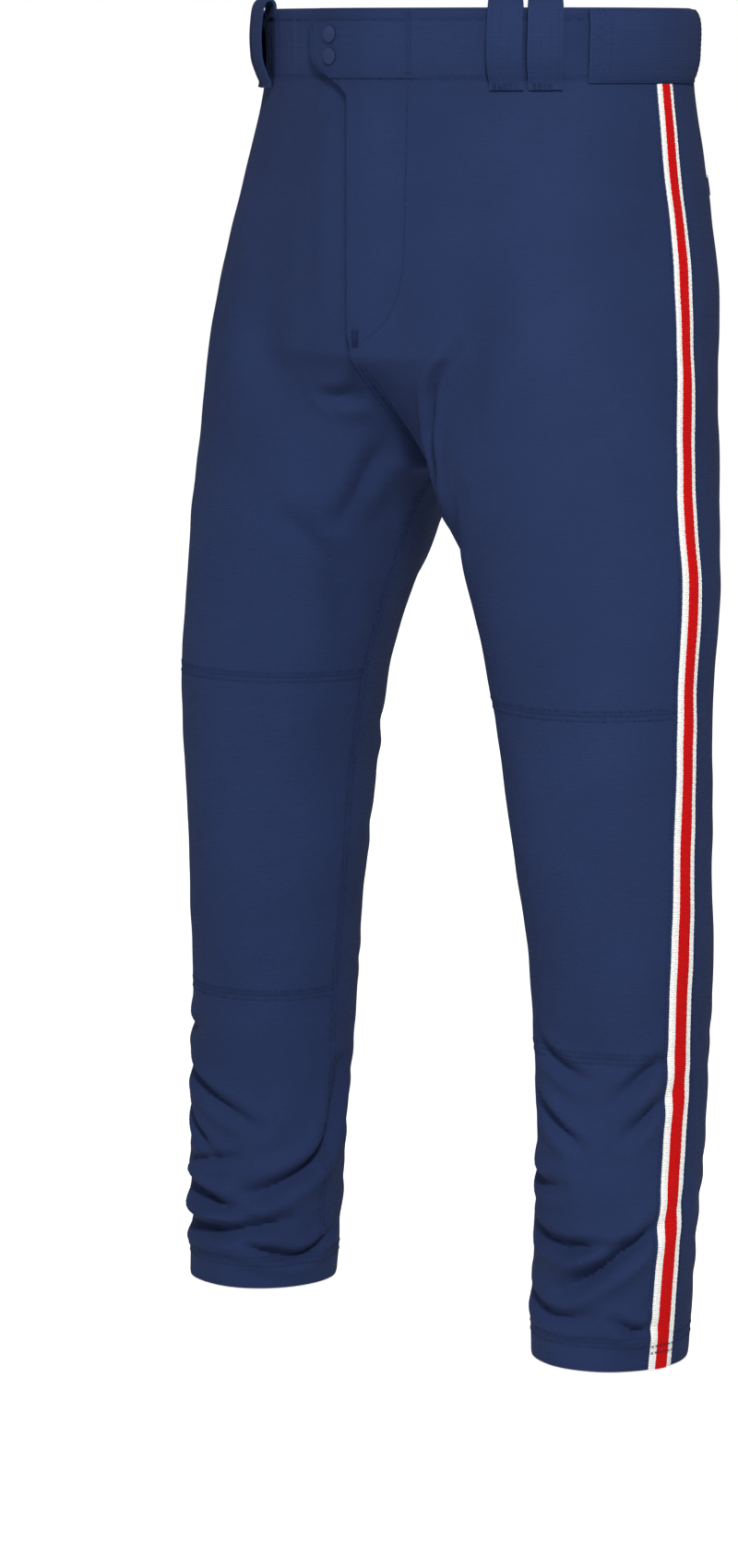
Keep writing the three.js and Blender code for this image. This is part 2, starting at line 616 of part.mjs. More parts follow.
// snaps: a cap and socket on the tab, a stud on the band below it
const tabOuter = FLY_LIFT + TAB_THICKNESS - CLOTH;
const tabInner = FLY_LIFT - CLOTH;
const turned = (profile, material, name, height, z) => {
  const points = [...profile, profile[0]].map(([r, h]) => new THREE.Vector2(r, h));
  const merged = new THREE.LatheGeometry(points, 20);
  ["normal", "uv"].forEach((attribute) => merged.deleteAttribute(attribute));
  const mesh = add(name, mergeVertices(merged, 0.001), material);
  mesh.position.copy(frontPoint(SNAP_X, z, height));
  mesh.rotation.set(Math.PI, 0, -Math.atan2(SNAP_X, WAIST_HALF_WIDTH ** 2 / WAIST_HALF_DEPTH));
};
[["upper", 0], ["lower", 1]].forEach(([label, index]) => {
  const z = -SNAP_DROP - index * SNAP_SPACING;
  const dome = [
    [0, 0], [SNAP_CAP_RADIUS, 0], [SNAP_CAP_RADIUS, CAP_EDGE],
    [SNAP_CAP_RADIUS - CAP_BEVEL, SNAP_CAP_HEIGHT],
    [SNAP_CAP_RADIUS - CAP_BEVEL - CAP_RIM, SNAP_CAP_HEIGHT - CAP_DISH], [0, SNAP_CAP_HEIGHT - CAP_DISH],
  ];
  turned(dome, NAVY_METAL, `snap_cap_${label}`, tabOuter + LAYER_GAP, z);
  const socket = [
    [SOCKET_BORE, 0], [SOCKET_RADIUS, 0], [SOCKET_RADIUS, SOCKET_HEIGHT], [SOCKET_BORE, SOCKET_HEIGHT],
  ];
  turned(socket, METAL, `snap_socket_${label}`, tabInner - SOCKET_GAP - SOCKET_HEIGHT, z);
  const knob = SOCKET_BORE - STUD_CLEARANCE;
  const studTop = tabInner - STUD_TOP_GAP - LAYER_GAP;
  const stud = [
    [0, 0], [SOCKET_RADIUS, 0], [SOCKET_RADIUS, STUD_BASE], [knob, STUD_BASE], [knob, studTop], [0, studTop],
  ];
  turned(stud, METAL, `snap_stud_${label}`, LAYER_GAP, z);
});

// pieces behind the overlap
const flat = (height) => () => height;
const facingRows = spread(-BAND_HEIGHT - SEAM_GAP, -BAND_HEIGHT - FLY_LENGTH * 0.74, 4);
const facingTop = -CLOTH - FLY_GAP;
const facingEnd = fixed(FLY_FOLD_TOP + 4);
add("fly_facing", frontPatch(facingRows, fixed(ZIP_X + 8), facingEnd, 4, flat(facingTop), 1), NAVY_LINING);
const tapeRows = spread(-BAND_HEIGHT - SEAM_GAP, FLY_END_Z + 8, 3);
const tapeTopHeight = -ZIP_DEPTH + TAPE_THICKNESS / 2;
const toothRoot = TOOTH_FREE_GAP / 2 + TOOTH_LENGTH + 2 * LAYER_GAP;
for (const [label, side] of [["left", 1], ["right", -1]]) {
  const near = fixed(ZIP_X + side * toothRoot);
  const far = fixed(ZIP_X + side * (toothRoot + TAPE_WIDTH));
  const geometry = frontPatch(tapeRows, near, far, 3, flat(tapeTopHeight), TAPE_THICKNESS);
  add(`zip_tape_${label}`, geometry, NAVY_LINING);
}
const shieldRows = spread(-BAND_HEIGHT + 18, FLY_END_Z + 4, 4);
const shieldTop = -ZIP_DEPTH - SLIDER_CHANNEL / 2 - SLIDER_PLATE - 2 * LAYER_GAP;
const shieldEnds = [fixed(ZIP_X - SHIELD_REACH.right), fixed(ZIP_X + SHIELD_REACH.left)];
add("fly_shield", frontPatch(shieldRows, ...shieldEnds, 5, flat(shieldTop), 1), NAVY_LINING);

// ---------- zip teeth, stops, slider and pull ----------

const zipY = frontPoint(ZIP_X, -BAND_HEIGHT, -ZIP_DEPTH).y;
const TOP_STOP_Z = -BAND_HEIGHT - 9;
const TEETH_TOP_Z = TOP_STOP_Z - 4;
const TEETH_END_Z = TEETH_TOP_Z - TEETH_PER_SIDE * TOOTH_PITCH;

function slab(outline, thickness, holes = []) {
  const shape = new THREE.Shape(outline.map(([x, z]) => new THREE.Vector2(x, z)));
  shape.holes = holes.map((hole) => new THREE.Path(hole.map(([x, z]) => new THREE.Vector2(x, z))));
  const body = new THREE.ExtrudeGeometry(shape, { depth: thickness, bevelEnabled: false });
  body.translate(0, 0, -thickness / 2);
  body.rotateX(Math.PI / 2);
  return body;
}

function rectangle(x0, x1, z0, z1) {
  return [[x0, z0], [x1, z0], [x1, z1], [x0, z1]];
}

function placeAtZip(name, geometry, material, z) {
  add(name, geometry, material).position.set(ZIP_X, zipY, z);
}

// a comb: a spine with one tooth for each pitch
function toothComb(side) {
  const root = side * (TOOTH_FREE_GAP / 2 + TOOTH_LENGTH);
  const spine = side * (TOOTH_FREE_GAP / 2 + TOOTH_LENGTH - 1);
  const tip = (side * TOOTH_FREE_GAP) / 2;
  const outline = [[root, TEETH_TOP_Z], [root, TEETH_END_Z]];
  for (let i = TEETH_PER_SIDE - 1; i >= 0; i -= 1) {
    const low = TEETH_TOP_Z - (i + 1) * TOOTH_PITCH;
    outline.push([spine, low], [tip, low + TOOTH_PITCH * 0.12]);
    outline.push([tip, low + TOOTH_PITCH * 0.5], [spine, low + TOOTH_PITCH * 0.6]);
  }
  outline.push([spine, TEETH_TOP_Z]);
  return slab(outline, TOOTH_THICKNESS);
}
for (const [label, side] of [["left", 1], ["right", -1]]) {
  placeAtZip(`zip_teeth_${label}`, toothComb(side), ZIP_PLASTIC, 0);
  const ends = [side * (TOOTH_FREE_GAP / 2), side * (TOOTH_FREE_GAP / 2 + TOOTH_LENGTH)];
  const topStop = rectangle(Math.min(...ends), Math.max(...ends), -STOP_HEIGHT / 2, STOP_HEIGHT / 2);
  placeAtZip(`zip_top_stop_${label}`, slab(topStop, TOOTH_THICKNESS), METAL, TOP_STOP_Z + 1);
}
const bottomHalf = TOOTH_FREE_GAP / 2 + TOOTH_LENGTH;
const bottomStop = rectangle(-bottomHalf, bottomHalf, -2, 2);
placeAtZip("zip_bottom_stop", slab(bottomStop, TOOTH_THICKNESS), METAL, TEETH_END_Z - STOP_HEIGHT);

function toManifold(geometry) {
  const bare = geometry.clone();
  ["normal", "uv"].forEach((attribute) => bare.deleteAttribute(attribute));
  const merged = mergeVertices(bare, 0.0001);
  const vertProperties = new Float32Array(merged.attributes.position.array);
  const triVerts = new Uint32Array(merged.index.array);
  return new wasm.Manifold(new wasm.Mesh({ numProp: 3, vertProperties, triVerts }));
}

function fromManifold(solid) {
  const { vertProperties, triVerts } = solid.getMesh();
  const geometry = new THREE.BufferGeometry();
  geometry.setAttribute("position", new THREE.BufferAttribute(vertProperties, 3));
  geometry.setIndex(new THREE.BufferAttribute(triVerts, 1));
  return geometry;
}

// slider: two plates on a neck, with a bridge for the pull on its face
const NECK = 0.4;
const BRIDGE = { width: 2, half: 3, leg: 1, reach: 2.4, bar: 0.8 };
const plateFace = SLIDER_CHANNEL / 2 + SLIDER_PLATE;
const sliderHalf = SLIDER_WIDTH / 2;
const channelHalf = SLIDER_CHANNEL / 2;
const crossSection = [
  [-sliderHalf, -plateFace], [sliderHalf, -plateFace], [sliderHalf, -channelHalf],
  [NECK / 2, -channelHalf], [NECK / 2, channelHalf], [sliderHalf, channelHalf],
  [sliderHalf, plateFace], [-sliderHalf, plateFace], [-sliderHalf, channelHalf],
  [-NECK / 2, channelHalf], [-NECK / 2, -channelHalf], [-sliderHalf, -channelHalf],
];
const sliderShape = new THREE.Shape(crossSection.map(([x, y]) => new THREE.Vector2(x, y)));
const sliderBody = new THREE.ExtrudeGeometry(sliderShape, { depth: SLIDER_HEIGHT, bevelEnabled: false });
sliderBody.translate(0, 0, -SLIDER_HEIGHT / 2);
const holeHalf = BRIDGE.half - BRIDGE.leg;
const bridgeHole = rectangle(0, BRIDGE.reach - BRIDGE.bar, -holeHalf, holeHalf);
const bridgeRing = slab(rectangle(-0.4, BRIDGE.reach, -BRIDGE.half, BRIDGE.half), BRIDGE.width, [bridgeHole]);
bridgeRing.rotateZ(-Math.PI / 2);
bridgeRing.translate(0, -plateFace, 0);
const slider = fromManifold(toManifold(sliderBody).add(toManifold(bridgeRing)));
const SLIDER_Z = TEETH_TOP_Z - SLIDER_HEIGHT / 2 - 0.5;
placeAtZip("zip_slider", slider, METAL, SLIDER_Z);

// pull: hangs on the bridge by its eye, free to swing outwards
const pullBarTop = -BRIDGE.half + BRIDGE.leg + 1.3;
const eyeTop = pullBarTop - 1;
const eyeEnd = -BRIDGE.half - 1.4;
const eyeHalf = BRIDGE.width / 2 + 0.5;
const pullOutline = rectangle(-PULL_WIDTH / 2, PULL_WIDTH / 2, pullBarTop - PULL_LENGTH, pullBarTop);
const pull = slab(pullOutline, PULL_THICKNESS, [rectangle(-eyeHalf, eyeHalf, eyeEnd, eyeTop)]);
pull.translate(0, -plateFace - (BRIDGE.reach - BRIDGE.bar) / 2, 0);
placeAtZip("zip_pull", pull, METAL, SLIDER_Z);

export default pants;
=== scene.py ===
"""Long baseball pants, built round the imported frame.

Sizes in this file are millimetres and become metres when a mesh is made. The wearer faces -Y, the
wearer's left is +X, and height 0 is the waistband's top edge.
"""

import math
import random

import bpy
import numpy as np
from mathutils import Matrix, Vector


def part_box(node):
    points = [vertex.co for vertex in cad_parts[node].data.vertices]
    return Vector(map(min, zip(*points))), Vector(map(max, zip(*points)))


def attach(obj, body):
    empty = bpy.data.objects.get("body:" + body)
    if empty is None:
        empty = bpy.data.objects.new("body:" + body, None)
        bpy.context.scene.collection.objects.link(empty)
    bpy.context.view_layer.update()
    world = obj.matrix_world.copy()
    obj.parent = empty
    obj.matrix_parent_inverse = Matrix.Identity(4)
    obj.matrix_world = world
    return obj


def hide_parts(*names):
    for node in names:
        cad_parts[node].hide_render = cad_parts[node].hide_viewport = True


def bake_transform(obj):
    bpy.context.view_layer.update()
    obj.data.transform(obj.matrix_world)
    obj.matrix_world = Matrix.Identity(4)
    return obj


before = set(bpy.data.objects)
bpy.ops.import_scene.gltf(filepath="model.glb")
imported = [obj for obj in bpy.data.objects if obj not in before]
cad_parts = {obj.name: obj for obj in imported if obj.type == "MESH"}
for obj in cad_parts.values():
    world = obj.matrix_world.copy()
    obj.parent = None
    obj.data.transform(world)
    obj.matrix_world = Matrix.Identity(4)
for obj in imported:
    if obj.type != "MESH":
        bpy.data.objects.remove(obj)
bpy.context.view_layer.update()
M = 0.001

bl_info = {
    "name": "Baseball Pants",
    "version": (1, 0, 0),
    "blender": (4, 5, 0),
    "location": "View3D > Sidebar > Pants",
    "description": "Builds a pair of long double-knit baseball pants piece by piece",
    "category": "Add Mesh",
}


# ---------- heights and sizes taken from the frame ----------


def low(node, axis):
    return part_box(node)[0][axis] / M


def high(node, axis):
    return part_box(node)[1][axis] / M


BAND_HEIGHT = -low("waistband_right", 2)
HEM_Z = low("hem_left", 2)
HEM_TOP_Z = high("hem_left", 2)
KNEE_TOP_Z = high("knee_panel_left", 2)
KNEE_END_Z = low("knee_panel_left", 2)
FLY_END_Z = low("fly_overlap", 2) - 2
WAIST_HALF_WIDTH = high("waistband_left", 0)
WAIST_HALF_DEPTH = high("waistband_left", 1)

SIDES = (("left", 1), ("right", -1))  # the wearer's left is +X

CROTCH_Z = -325.0
BRIDGE_REACH = 34.0
UPPER_THIGH_Z = CROTCH_Z - 75
HIP_Z = -200.0
SEAT_Z = -150.0
FRONT_TURN_Z = FLY_END_Z - 2
SEAM_HALF_GAP = 0.2
EDGE_GAP = 0.01
MIDDLE_REACH = 0.6

# [height, value] stations down the body, the same curves that the frame follows
SIDE_LINE = [
    (0, WAIST_HALF_WIDTH), (-BAND_HEIGHT, WAIST_HALF_WIDTH), (HIP_Z, 203), (CROTCH_Z, 214),
    (UPPER_THIGH_Z, 224), (KNEE_TOP_Z, 229), (KNEE_END_Z, 230), (HEM_Z, 224),
]
MIDDLE_Y = [
    (0, 0), (-BAND_HEIGHT, 0), (HIP_Z, -20), (CROTCH_Z, -27),
    (UPPER_THIGH_Z, -31), (KNEE_TOP_Z, -39), (KNEE_END_Z, -34), (HEM_Z, -47),
]
LEG_DEPTH = [
    (0, WAIST_HALF_DEPTH), (-BAND_HEIGHT, WAIST_HALF_DEPTH), (HIP_Z, 113), (CROTCH_Z, 104),
    (UPPER_THIGH_Z, 89), (KNEE_TOP_Z, 78), (KNEE_END_Z, 62), (HEM_Z, 56),
]
BACK_Y = [(0, WAIST_HALF_DEPTH), (-BAND_HEIGHT, WAIST_HALF_DEPTH), (HIP_Z, 140), (CROTCH_Z, 140)]
SIDE_SEAM_T = [
    (-BAND_HEIGHT, 0.02), (CROTCH_Z, 0), (KNEE_TOP_Z, -0.01), (KNEE_END_Z, -0.065), (HEM_Z, -0.06),
]

FLY_LIFT = 5.2
FOLD_TOP_X = 50.0
OVERLAP_X = -3.0
UNDERLAP_X = 20.0
TAB_REACH = 39.0
TAB_CORNER = 10.0
TAB_SWEEP = 30.0
TAB_SLANT_TOP_Z = -BAND_HEIGHT + 16
ZIP_X = 12.0


def arch(z):
    """How far below the crotch, as a root, so the gap between the legs opens as a round arch."""
    return np.sqrt(np.maximum(CROTCH_Z - np.asarray(z, float), 0) / (CROTCH_Z - HEM_Z))


INSEAM_LINE = [
    (0, 0), (-float(arch(UPPER_THIGH_Z)), 52), (-float(arch(KNEE_TOP_Z)), 73),
    (-float(arch(KNEE_END_Z)), 106), (-1, 114),
]


def profile(stations, z):
    """A smooth curve through the stations, for an array of heights."""
    z = np.asarray(z, float)
    heights = np.array([s[0] for s in stations], float)
    values = np.array([s[1] for s in stations], float)
    count = len(stations)
    before = np.maximum(np.arange(count) - 1, 0)
    after = np.minimum(np.arange(count) + 1, count - 1)
    slopes = (values[after] - values[before]) / (heights[after] - heights[before])
    held = np.clip(z, heights[-1], heights[0])
    k = np.clip(np.searchsorted(-heights, -held, side="left"), 1, count - 1)
    span = heights[k] - heights[k - 1]
    s = (held - heights[k - 1]) / span
    rise = (values[k] - values[k - 1]) * s * s * (3 - 2 * s)
    ease = s * (1 - s) ** 2 * slopes[k - 1] + s * s * (s - 1) * slopes[k]
    return values[k - 1] + rise + span * ease


def smooth(start, end, value):
    u = np.clip((np.asarray(value, float) - start) / (end - start), 0, 1)
    return u * u * (3 - 2 * u)


def leg_share(z, t):
    """From 0, one oval round the body, to 1, a tube round each leg."""
    slow = smooth(BAND_HEIGHT, -UPPER_THIGH_Z, -z)
    turn = np.where(t < 0, FRONT_TURN_Z, SEAT_Z)
    straight = np.where(t < 0, 0.75, 0.45)
    u = np.clip((turn - z) / (turn - CROTCH_Z), 0, 1)
    seam = straight * u + (1 - straight) * (1 - np.sqrt(1 - u * u))
    return slow + (seam - slow) * smooth(0.45, 0.8, np.abs(t))


def pattern(z, t):
    """The left half's cut shape. t is -1 at the front seam and inseam, 0 at the side, 1 at the back."""
    side = profile(SIDE_LINE, z)
    inner = profile(INSEAM_LINE, -arch(z))
    middle = profile(MIDDLE_Y, z)
    depth = np.where(t < 0, WAIST_HALF_DEPTH + middle, profile(BACK_Y, z) - middle)
    body_x = side * np.cos(t * math.pi / 2)
    body_y = middle + depth * np.sin(t * math.pi / 2)
    leg_x = (side + inner) / 2 + (side - inner) / 2 * np.cos(t * math.pi)
    leg_y = middle + profile(LEG_DEPTH, z) * np.sin(t * math.pi)
    share = leg_share(z, t)
    x = body_x + (leg_x - body_x) * share + SEAM_HALF_GAP
    return np.stack([x, body_y + (leg_y - body_y) * share, z], -1)


def face(z, t):
    """The left half's outer face, where the cloth bridges the sharp turn level with the crotch."""
    z, t = np.broadcast_arrays(np.asarray(z, float), np.asarray(t, float))
    cut = pattern(z, t)
    share = np.exp(-(((z - CROTCH_Z) / BRIDGE_REACH) ** 4)) * (1 - smooth(0.86, 0.97, np.abs(t)))
    near = share > 0.001
    steps = np.linspace(-BRIDGE_REACH, BRIDGE_REACH, 9)
    bridged = sum(pattern(z[near] + step, t[near]) for step in steps) / len(steps)
    cut[near] += (bridged - cut[near]) * share[near][:, None]
    return cut


def face_normal(z, t):
    z = np.clip(z, HEM_Z, 0)
    across = face(z, t + 0.004) - face(z, t - 0.004)
    up = face(np.minimum(z + 1.5, 0), t) - face(np.maximum(z - 1.5, HEM_Z), t)
    normal = np.cross(across, up)
    return normal / np.maximum(np.linalg.norm(normal, axis=-1, keepdims=True), 1e-9)


def half_girth(z):
    """Length of cloth for one unit of t."""
    leg = (profile(SIDE_LINE, z) - profile(INSEAM_LINE, -arch(z))) / 2
    tube = math.pi * (leg + profile(LEG_DEPTH, z)) / 2
    body = math.pi / 2 * (profile(SIDE_LINE, z) + WAIST_HALF_DEPTH) / 2
    return body + (tube - body) * smooth(BAND_HEIGHT, -UPPER_THIGH_Z, -np.asarray(z, float))


# ---------- folds in the worn cloth ----------

FOLD_STRENGTH = 1.8

# One fold: leg (1 left, -1 right), its line as (height, t) points, its width and its depth.
# A fold is a sharp valley between two soft swells.
FOLDS = [
    # right shin
    (-1, [(-783, -0.22), (-800, -0.45), (-824, -0.70)], 5.0, 3.6),
    (-1, [(-810, -0.22), (-832, -0.38), (-845, -0.50)], 4.0, 2.6),
    (-1, [(-780, -1.06), (-838, -1.0), (-862, -0.84), (-876, -0.62)], 6.0, 5.0),
    (-1, [(-856, -0.24), (-850, -0.45), (-846, -0.62)], 4.0, 2.6),
    (-1, [(-872, -0.22), (-880, -0.45), (-889, -0.68)], 5.0, 4.6),
    (-1, [(-903, -0.20), (-902, -0.55), (-893, -0.84)], 5.5, 5.2),
    (-1, [(-908, -0.60), (-922, -0.88), (-909, -1.08)], 4.5, 4.0),
    (-1, [(-742, -0.10), (-756, -0.26), (-752, -0.40)], 5.0, 2.0),
    # left shin
    (1, [(-714, -0.68), (-728, -0.54), (-738, -0.42)], 5.0, 2.8),
    (1, [(-718, -0.09), (-732, -0.20), (-750, -0.30)], 5.0, 3.0),
    (1, [(-738, -0.04), (-756, -0.15), (-778, -0.27)], 5.0, 3.8),
    (1, [(-756, -0.70), (-772, -0.56), (-786, -0.44)], 5.0, 3.4),
    (1, [(-850, -0.76), (-858, -0.50), (-852, -0.26)], 5.0, 4.0),
    (1, [(-826, 0.0), (-850, -0.18), (-874, -0.36), (-889, -0.50)], 6.0, 5.6),
    (1, [(-896, -0.80), (-908, -0.56), (-906, -0.36)], 5.0, 3.0),
    (1, [(-908, -0.28), (-916, -0.18), (-912, -0.06)], 4.0, 3.4),
    (1, [(-806, -0.86), (-818, -0.70), (-816, -0.52)], 5.0, 3.0),
    # crotch and upper thigh
    (1, [(-232, -0.72), (-258, -0.78), (-286, -0.76), (-316, -0.72), (-346, -0.74)], 5.0, 3.2),
    (-1, [(-262, -0.97), (-270, -0.90), (-274, -0.82)], 5.0, 2.6),
    (-1, [(-300, -0.92), (-330, -0.84), (-362, -0.80)], 7.0, 2.2),
    (1, [(-330, -0.60), (-380, -0.78), (-430, -0.88)], 8.0, 2.4),
    (-1, [(-350, -0.62), (-395, -0.80), (-440, -0.90)], 8.0, 2.2),
    # seat and back of the thighs, each mirrored on the other leg
    (0, [(-322, 0.78), (-350, 0.66), (-360, 0.46)], 8.0, 3.4),
    (0, [(-362, 0.76), (-396, 0.66), (-410, 0.50)], 8.0, 2.6),
    (0, [(-250, 0.66), (-286, 0.50), (-310, 0.30)], 9.0, 2.6),
    (0, [(-520, 0.80), (-534, 0.62), (-528, 0.40)], 7.0, 1.6),
    (0, [(-556, 0.74), (-572, 0.56), (-562, 0.36)], 7.0, 1.5),
    (0, [(-598, 0.80), (-606, 0.62), (-596, 0.42)], 7.0, 1.2),
    # right front, where it dips beside the fly's free edge
    (-1, [(-52, -0.962), (-100, -0.958), (-170, -0.958), (-232, -0.966)], 8.0, 1.1),
]


def shin_folds():
    """The bunched cloth behind the shins, drawn by a seeded hand."""
    hand = random.Random(11)
    folds = []
    for leg in (1, -1):
        height = -712.0
        while height > HEM_TOP_Z - 4:
            start = hand.uniform(0.02, 0.3)
            end = hand.uniform(0.72, 1.0)
            slope = hand.uniform(-20, 20)
            sag = hand.uniform(3, 10)
            middle = (height - sag + slope / 2, (start + end) / 2)
            line = [(height, start), middle, (height + slope, end)]
            folds.append((leg, line, hand.uniform(5.5, 8.5), hand.uniform(0.4, 1.0)))
            height -= hand.uniform(22, 40)
    return folds


ALL_FOLDS = FOLDS + shin_folds()


def curve_points(line, steps=8):
    """A smooth run of points through a fold's few points."""
    pts = np.array(line, float)
    ends = np.vstack([2 * pts[0] - pts[1], pts, 2 * pts[-1] - pts[-2]])
    out = []
    for i in range(1, len(ends) - 2):
        a, b, c, d = ends[i - 1 : i + 3]
        for s in np.linspace(0, 1, steps, endpoint=False):
            bend = (2 * a - 5 * b + 4 * c - d) * s * s + (3 * b - a - 3 * c + d) * s**3
            out.append(0.5 * (2 * b + (c - a) * s + bend))
    out.append(pts[-1])
    return np.array(out)


def fold_height(side, z, t):
    """How far the folds push the cloth out (+) or in (-)."""
    girth = half_girth(z)
    total = np.zeros_like(z)
    for leg, line, width, depth in ALL_FOLDS:
        if leg not in (0, side):
            continue
        pts = curve_points(line)
        near = (z > pts[:, 0].min() - 30) & (z < pts[:, 0].max() + 30)
        if not near.any():
            continue
        zz, tt, gg = z[near], t[near], girth[near]
        best = np.full(zz.shape, 1e9)
        along = np.zeros(zz.shape)
        for i in range(len(pts) - 1):
            step = pts[i + 1] - pts[i]
            for wrap in (-2, 0, 2):
                du = (tt + wrap - pts[i, 1]) * gg
                dz = zz - pts[i, 0]
                su, sz = step[1] * gg, step[0]
                s = np.clip((du * su + dz * sz) / (su * su + sz * sz), 0, 1)
                d = np.hypot(du - s * su, dz - s * sz)
                closer = d < best
                best = np.where(closer, d, best)
                along = np.where(closer, (i + s) / (len(pts) - 1), along)
        fade = np.sin(np.pi * np.clip(along, 0.04, 0.96)) ** 0.6
        valley = -np.exp(-((best / width) ** 1.5))
        swell = 0.62 * np.exp(-(((best - 2.0 * width) / (1.3 * width)) ** 2))
        total[near] += FOLD_STRENGTH * depth * fade * (valley + swell)
    braid = np.exp(-(((t - profile(SIDE_SEAM_T, z)) * girth / 17) ** 4))
    return total * (1 - 0.8 * braid)


def soft_noise(z, t, size, seed):
    """Smooth repeatable waves of about one size."""
    hand = random.Random(seed)
    girth = 190.0
    total = np.zeros_like(z)
    for _ in range(6):
        angle = hand.uniform(0, math.pi)
        stretch = hand.uniform(0.7, 1.5)
        phase = hand.uniform(0, 2 * math.pi)
        cycles = max(1, round(2 * girth / (size * stretch) * abs(math.cos(angle))))
        rise = z * math.sin(angle) * 2 * math.pi / (size * stretch)
        total += np.sin(math.pi * cycles * t + rise + phase)
    return total / 6


def worn_height(side, z, t):
    """Folds and the slow unevenness of worn cloth, calmer at the waist and the fly."""
    calm = smooth(BAND_HEIGHT + 5, BAND_HEIGHT + 70, -z)
    drape = 1.5 * soft_noise(z, t, 120, 5 + side) + 0.5 * soft_noise(z, t, 44, 8 + side)
    low_leg = smooth(-KNEE_END_Z - 60, -KNEE_END_Z + 90, -z)
    bunch = 0.7 * soft_noise(z, t, 58, 21 + side) * low_leg
    over_fly = (1 - smooth(0.08, 0.26, t + 1)) * smooth(FLY_END_Z - 60, FLY_END_Z, z)
    return calm * (drape * (1 - 0.8 * over_fly) + bunch) + fold_height(side, z, t)


def fly_lift(x, z):
    across = 1 - smooth(8, FOLD_TOP_X - 6, x)
    return FLY_LIFT * across * smooth(FLY_END_Z - 30, FLY_END_Z, z)


def cloth_point(side, z, t, height, worn=True):
    """A point at a height over the cloth's outer face, on either side, in millimetres."""
    z, t, over = np.broadcast_arrays(*(np.asarray(value, float) for value in (z, t, height)))
    point = face(z, t)
    if side > 0:
        over = over + np.where(t < 0, fly_lift(point[..., 0], z), 0)
    if worn:
        seam = np.exp(-((np.abs(np.abs(t) - 1) * half_girth(z) / 14) ** 2))
        above = smooth(CROTCH_Z + 2, CROTCH_Z + 30, z)
        over = over + worn_height(side, z, t) * (1 - 0.9 * seam * above)
    point = point + face_normal(z, t) * over[..., None]
    closed = (SEAM_HALF_GAP - EDGE_GAP) * np.exp(-((point[..., 0] / 4) ** 2))
    keep_clear = np.where(t > -1, EDGE_GAP, -1e9)
    point[..., 0] = np.maximum(point[..., 0] - closed, keep_clear)
    point[..., 0] *= side
    return point


# ---------- sheets of cloth from grids of points ----------


def select_only(obj):
    bpy.ops.object.select_all(action="DESELECT")
    obj.select_set(True)
    bpy.context.view_layer.objects.active = obj


def new_object(name, points, faces):
    """A mesh object from millimetre points, at the origin."""
    mesh = bpy.data.meshes.new(name)
    mesh.from_pydata((np.asarray(points, float) * M).tolist(), [], faces)
    mesh.validate()
    obj = bpy.data.objects.new(name, mesh)
    bpy.context.scene.collection.objects.link(obj)
    return obj


def grid_faces(rows, columns, closed=False, flip=False, start=0):
    faces = []
    for r in range(rows - 1):
        for c in range(columns if closed else columns - 1):
            a = start + r * columns + c
            b = start + r * columns + (c + 1) % columns
            quad = (a, b, b + columns, a + columns)
            faces.append(quad[::-1] if flip else quad)
    return faces


def apply_modifier(obj, kind, **settings):
    select_only(obj)
    modifier = obj.modifiers.new(kind.title(), kind)
    for key, value in settings.items():
        setattr(modifier, key, value)
    bpy.ops.object.modifier_apply(modifier=modifier.name)


def sheet_from_grid(name, points, thickness, closed=False, flip=False, meets_middle=False):
    """A sheet whose outer face is the grid, with its thickness behind it and uv in metres."""
    rows, columns = points.shape[:2]
    obj = new_object(name, points.reshape(-1, 3), grid_faces(rows, columns, closed, flip))
    width, length = grid_span(points, 1), grid_span(points, 0)
    layer = obj.data.uv_layers.new(name="Cloth")
    u = np.tile(np.linspace(0, width * M, columns), rows)
    v = np.repeat(np.linspace(0, length * M, rows), columns)
    index = np.zeros(len(obj.data.loops), int)
    obj.data.loops.foreach_get("vertex_index", index)
    layer.data.foreach_set("uv", np.stack([u[index], v[index]], -1).ravel())
    apply_modifier(obj, "SOLIDIFY", thickness=thickness * M, offset=-1.0, use_even_offset=False)
    for vertex in obj.data.vertices if meets_middle else ():
        if abs(vertex.co.x) < MIDDLE_REACH * M:
            vertex.co.x = math.copysign(EDGE_GAP * M, vertex.co.x)
    finish_cloth(obj)
    return obj


def finish_cloth(obj):
    select_only(obj)
    bpy.ops.object.shade_smooth_by_angle(angle=math.radians(50))


def grid_span(points, axis):
    """The longest run of the grid along one axis, in millimetres."""
    steps = np.linalg.norm(np.diff(points, axis=axis), axis=-1)
    return float(steps.sum(axis=axis).max())


def place(obj, body, material, slot, *nodes):
    obj.data.materials.clear()
    obj.data.materials.append(material)
    if body:
        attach(obj, body)
    if nodes:
        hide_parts(*nodes)


# ---------- materials ----------


def group_socket(group, name, direction, kind, default=None):
    socket = group.interface.new_socket(name=name, in_out=direction, socket_type=kind)
    if default is not None:
        socket.default_value = default
    return socket


def math_node(nodes, operation, *values, clamp=False):
    node = nodes.new("ShaderNodeMath")
    node.operation = operation
    node.use_clamp = clamp
    for i, value in enumerate(values):
        if isinstance(value, (int, float)):
            node.inputs[i].default_value = value
        else:
            node.id_data.links.new(value, node.inputs[i])
    return node.outputs[0]


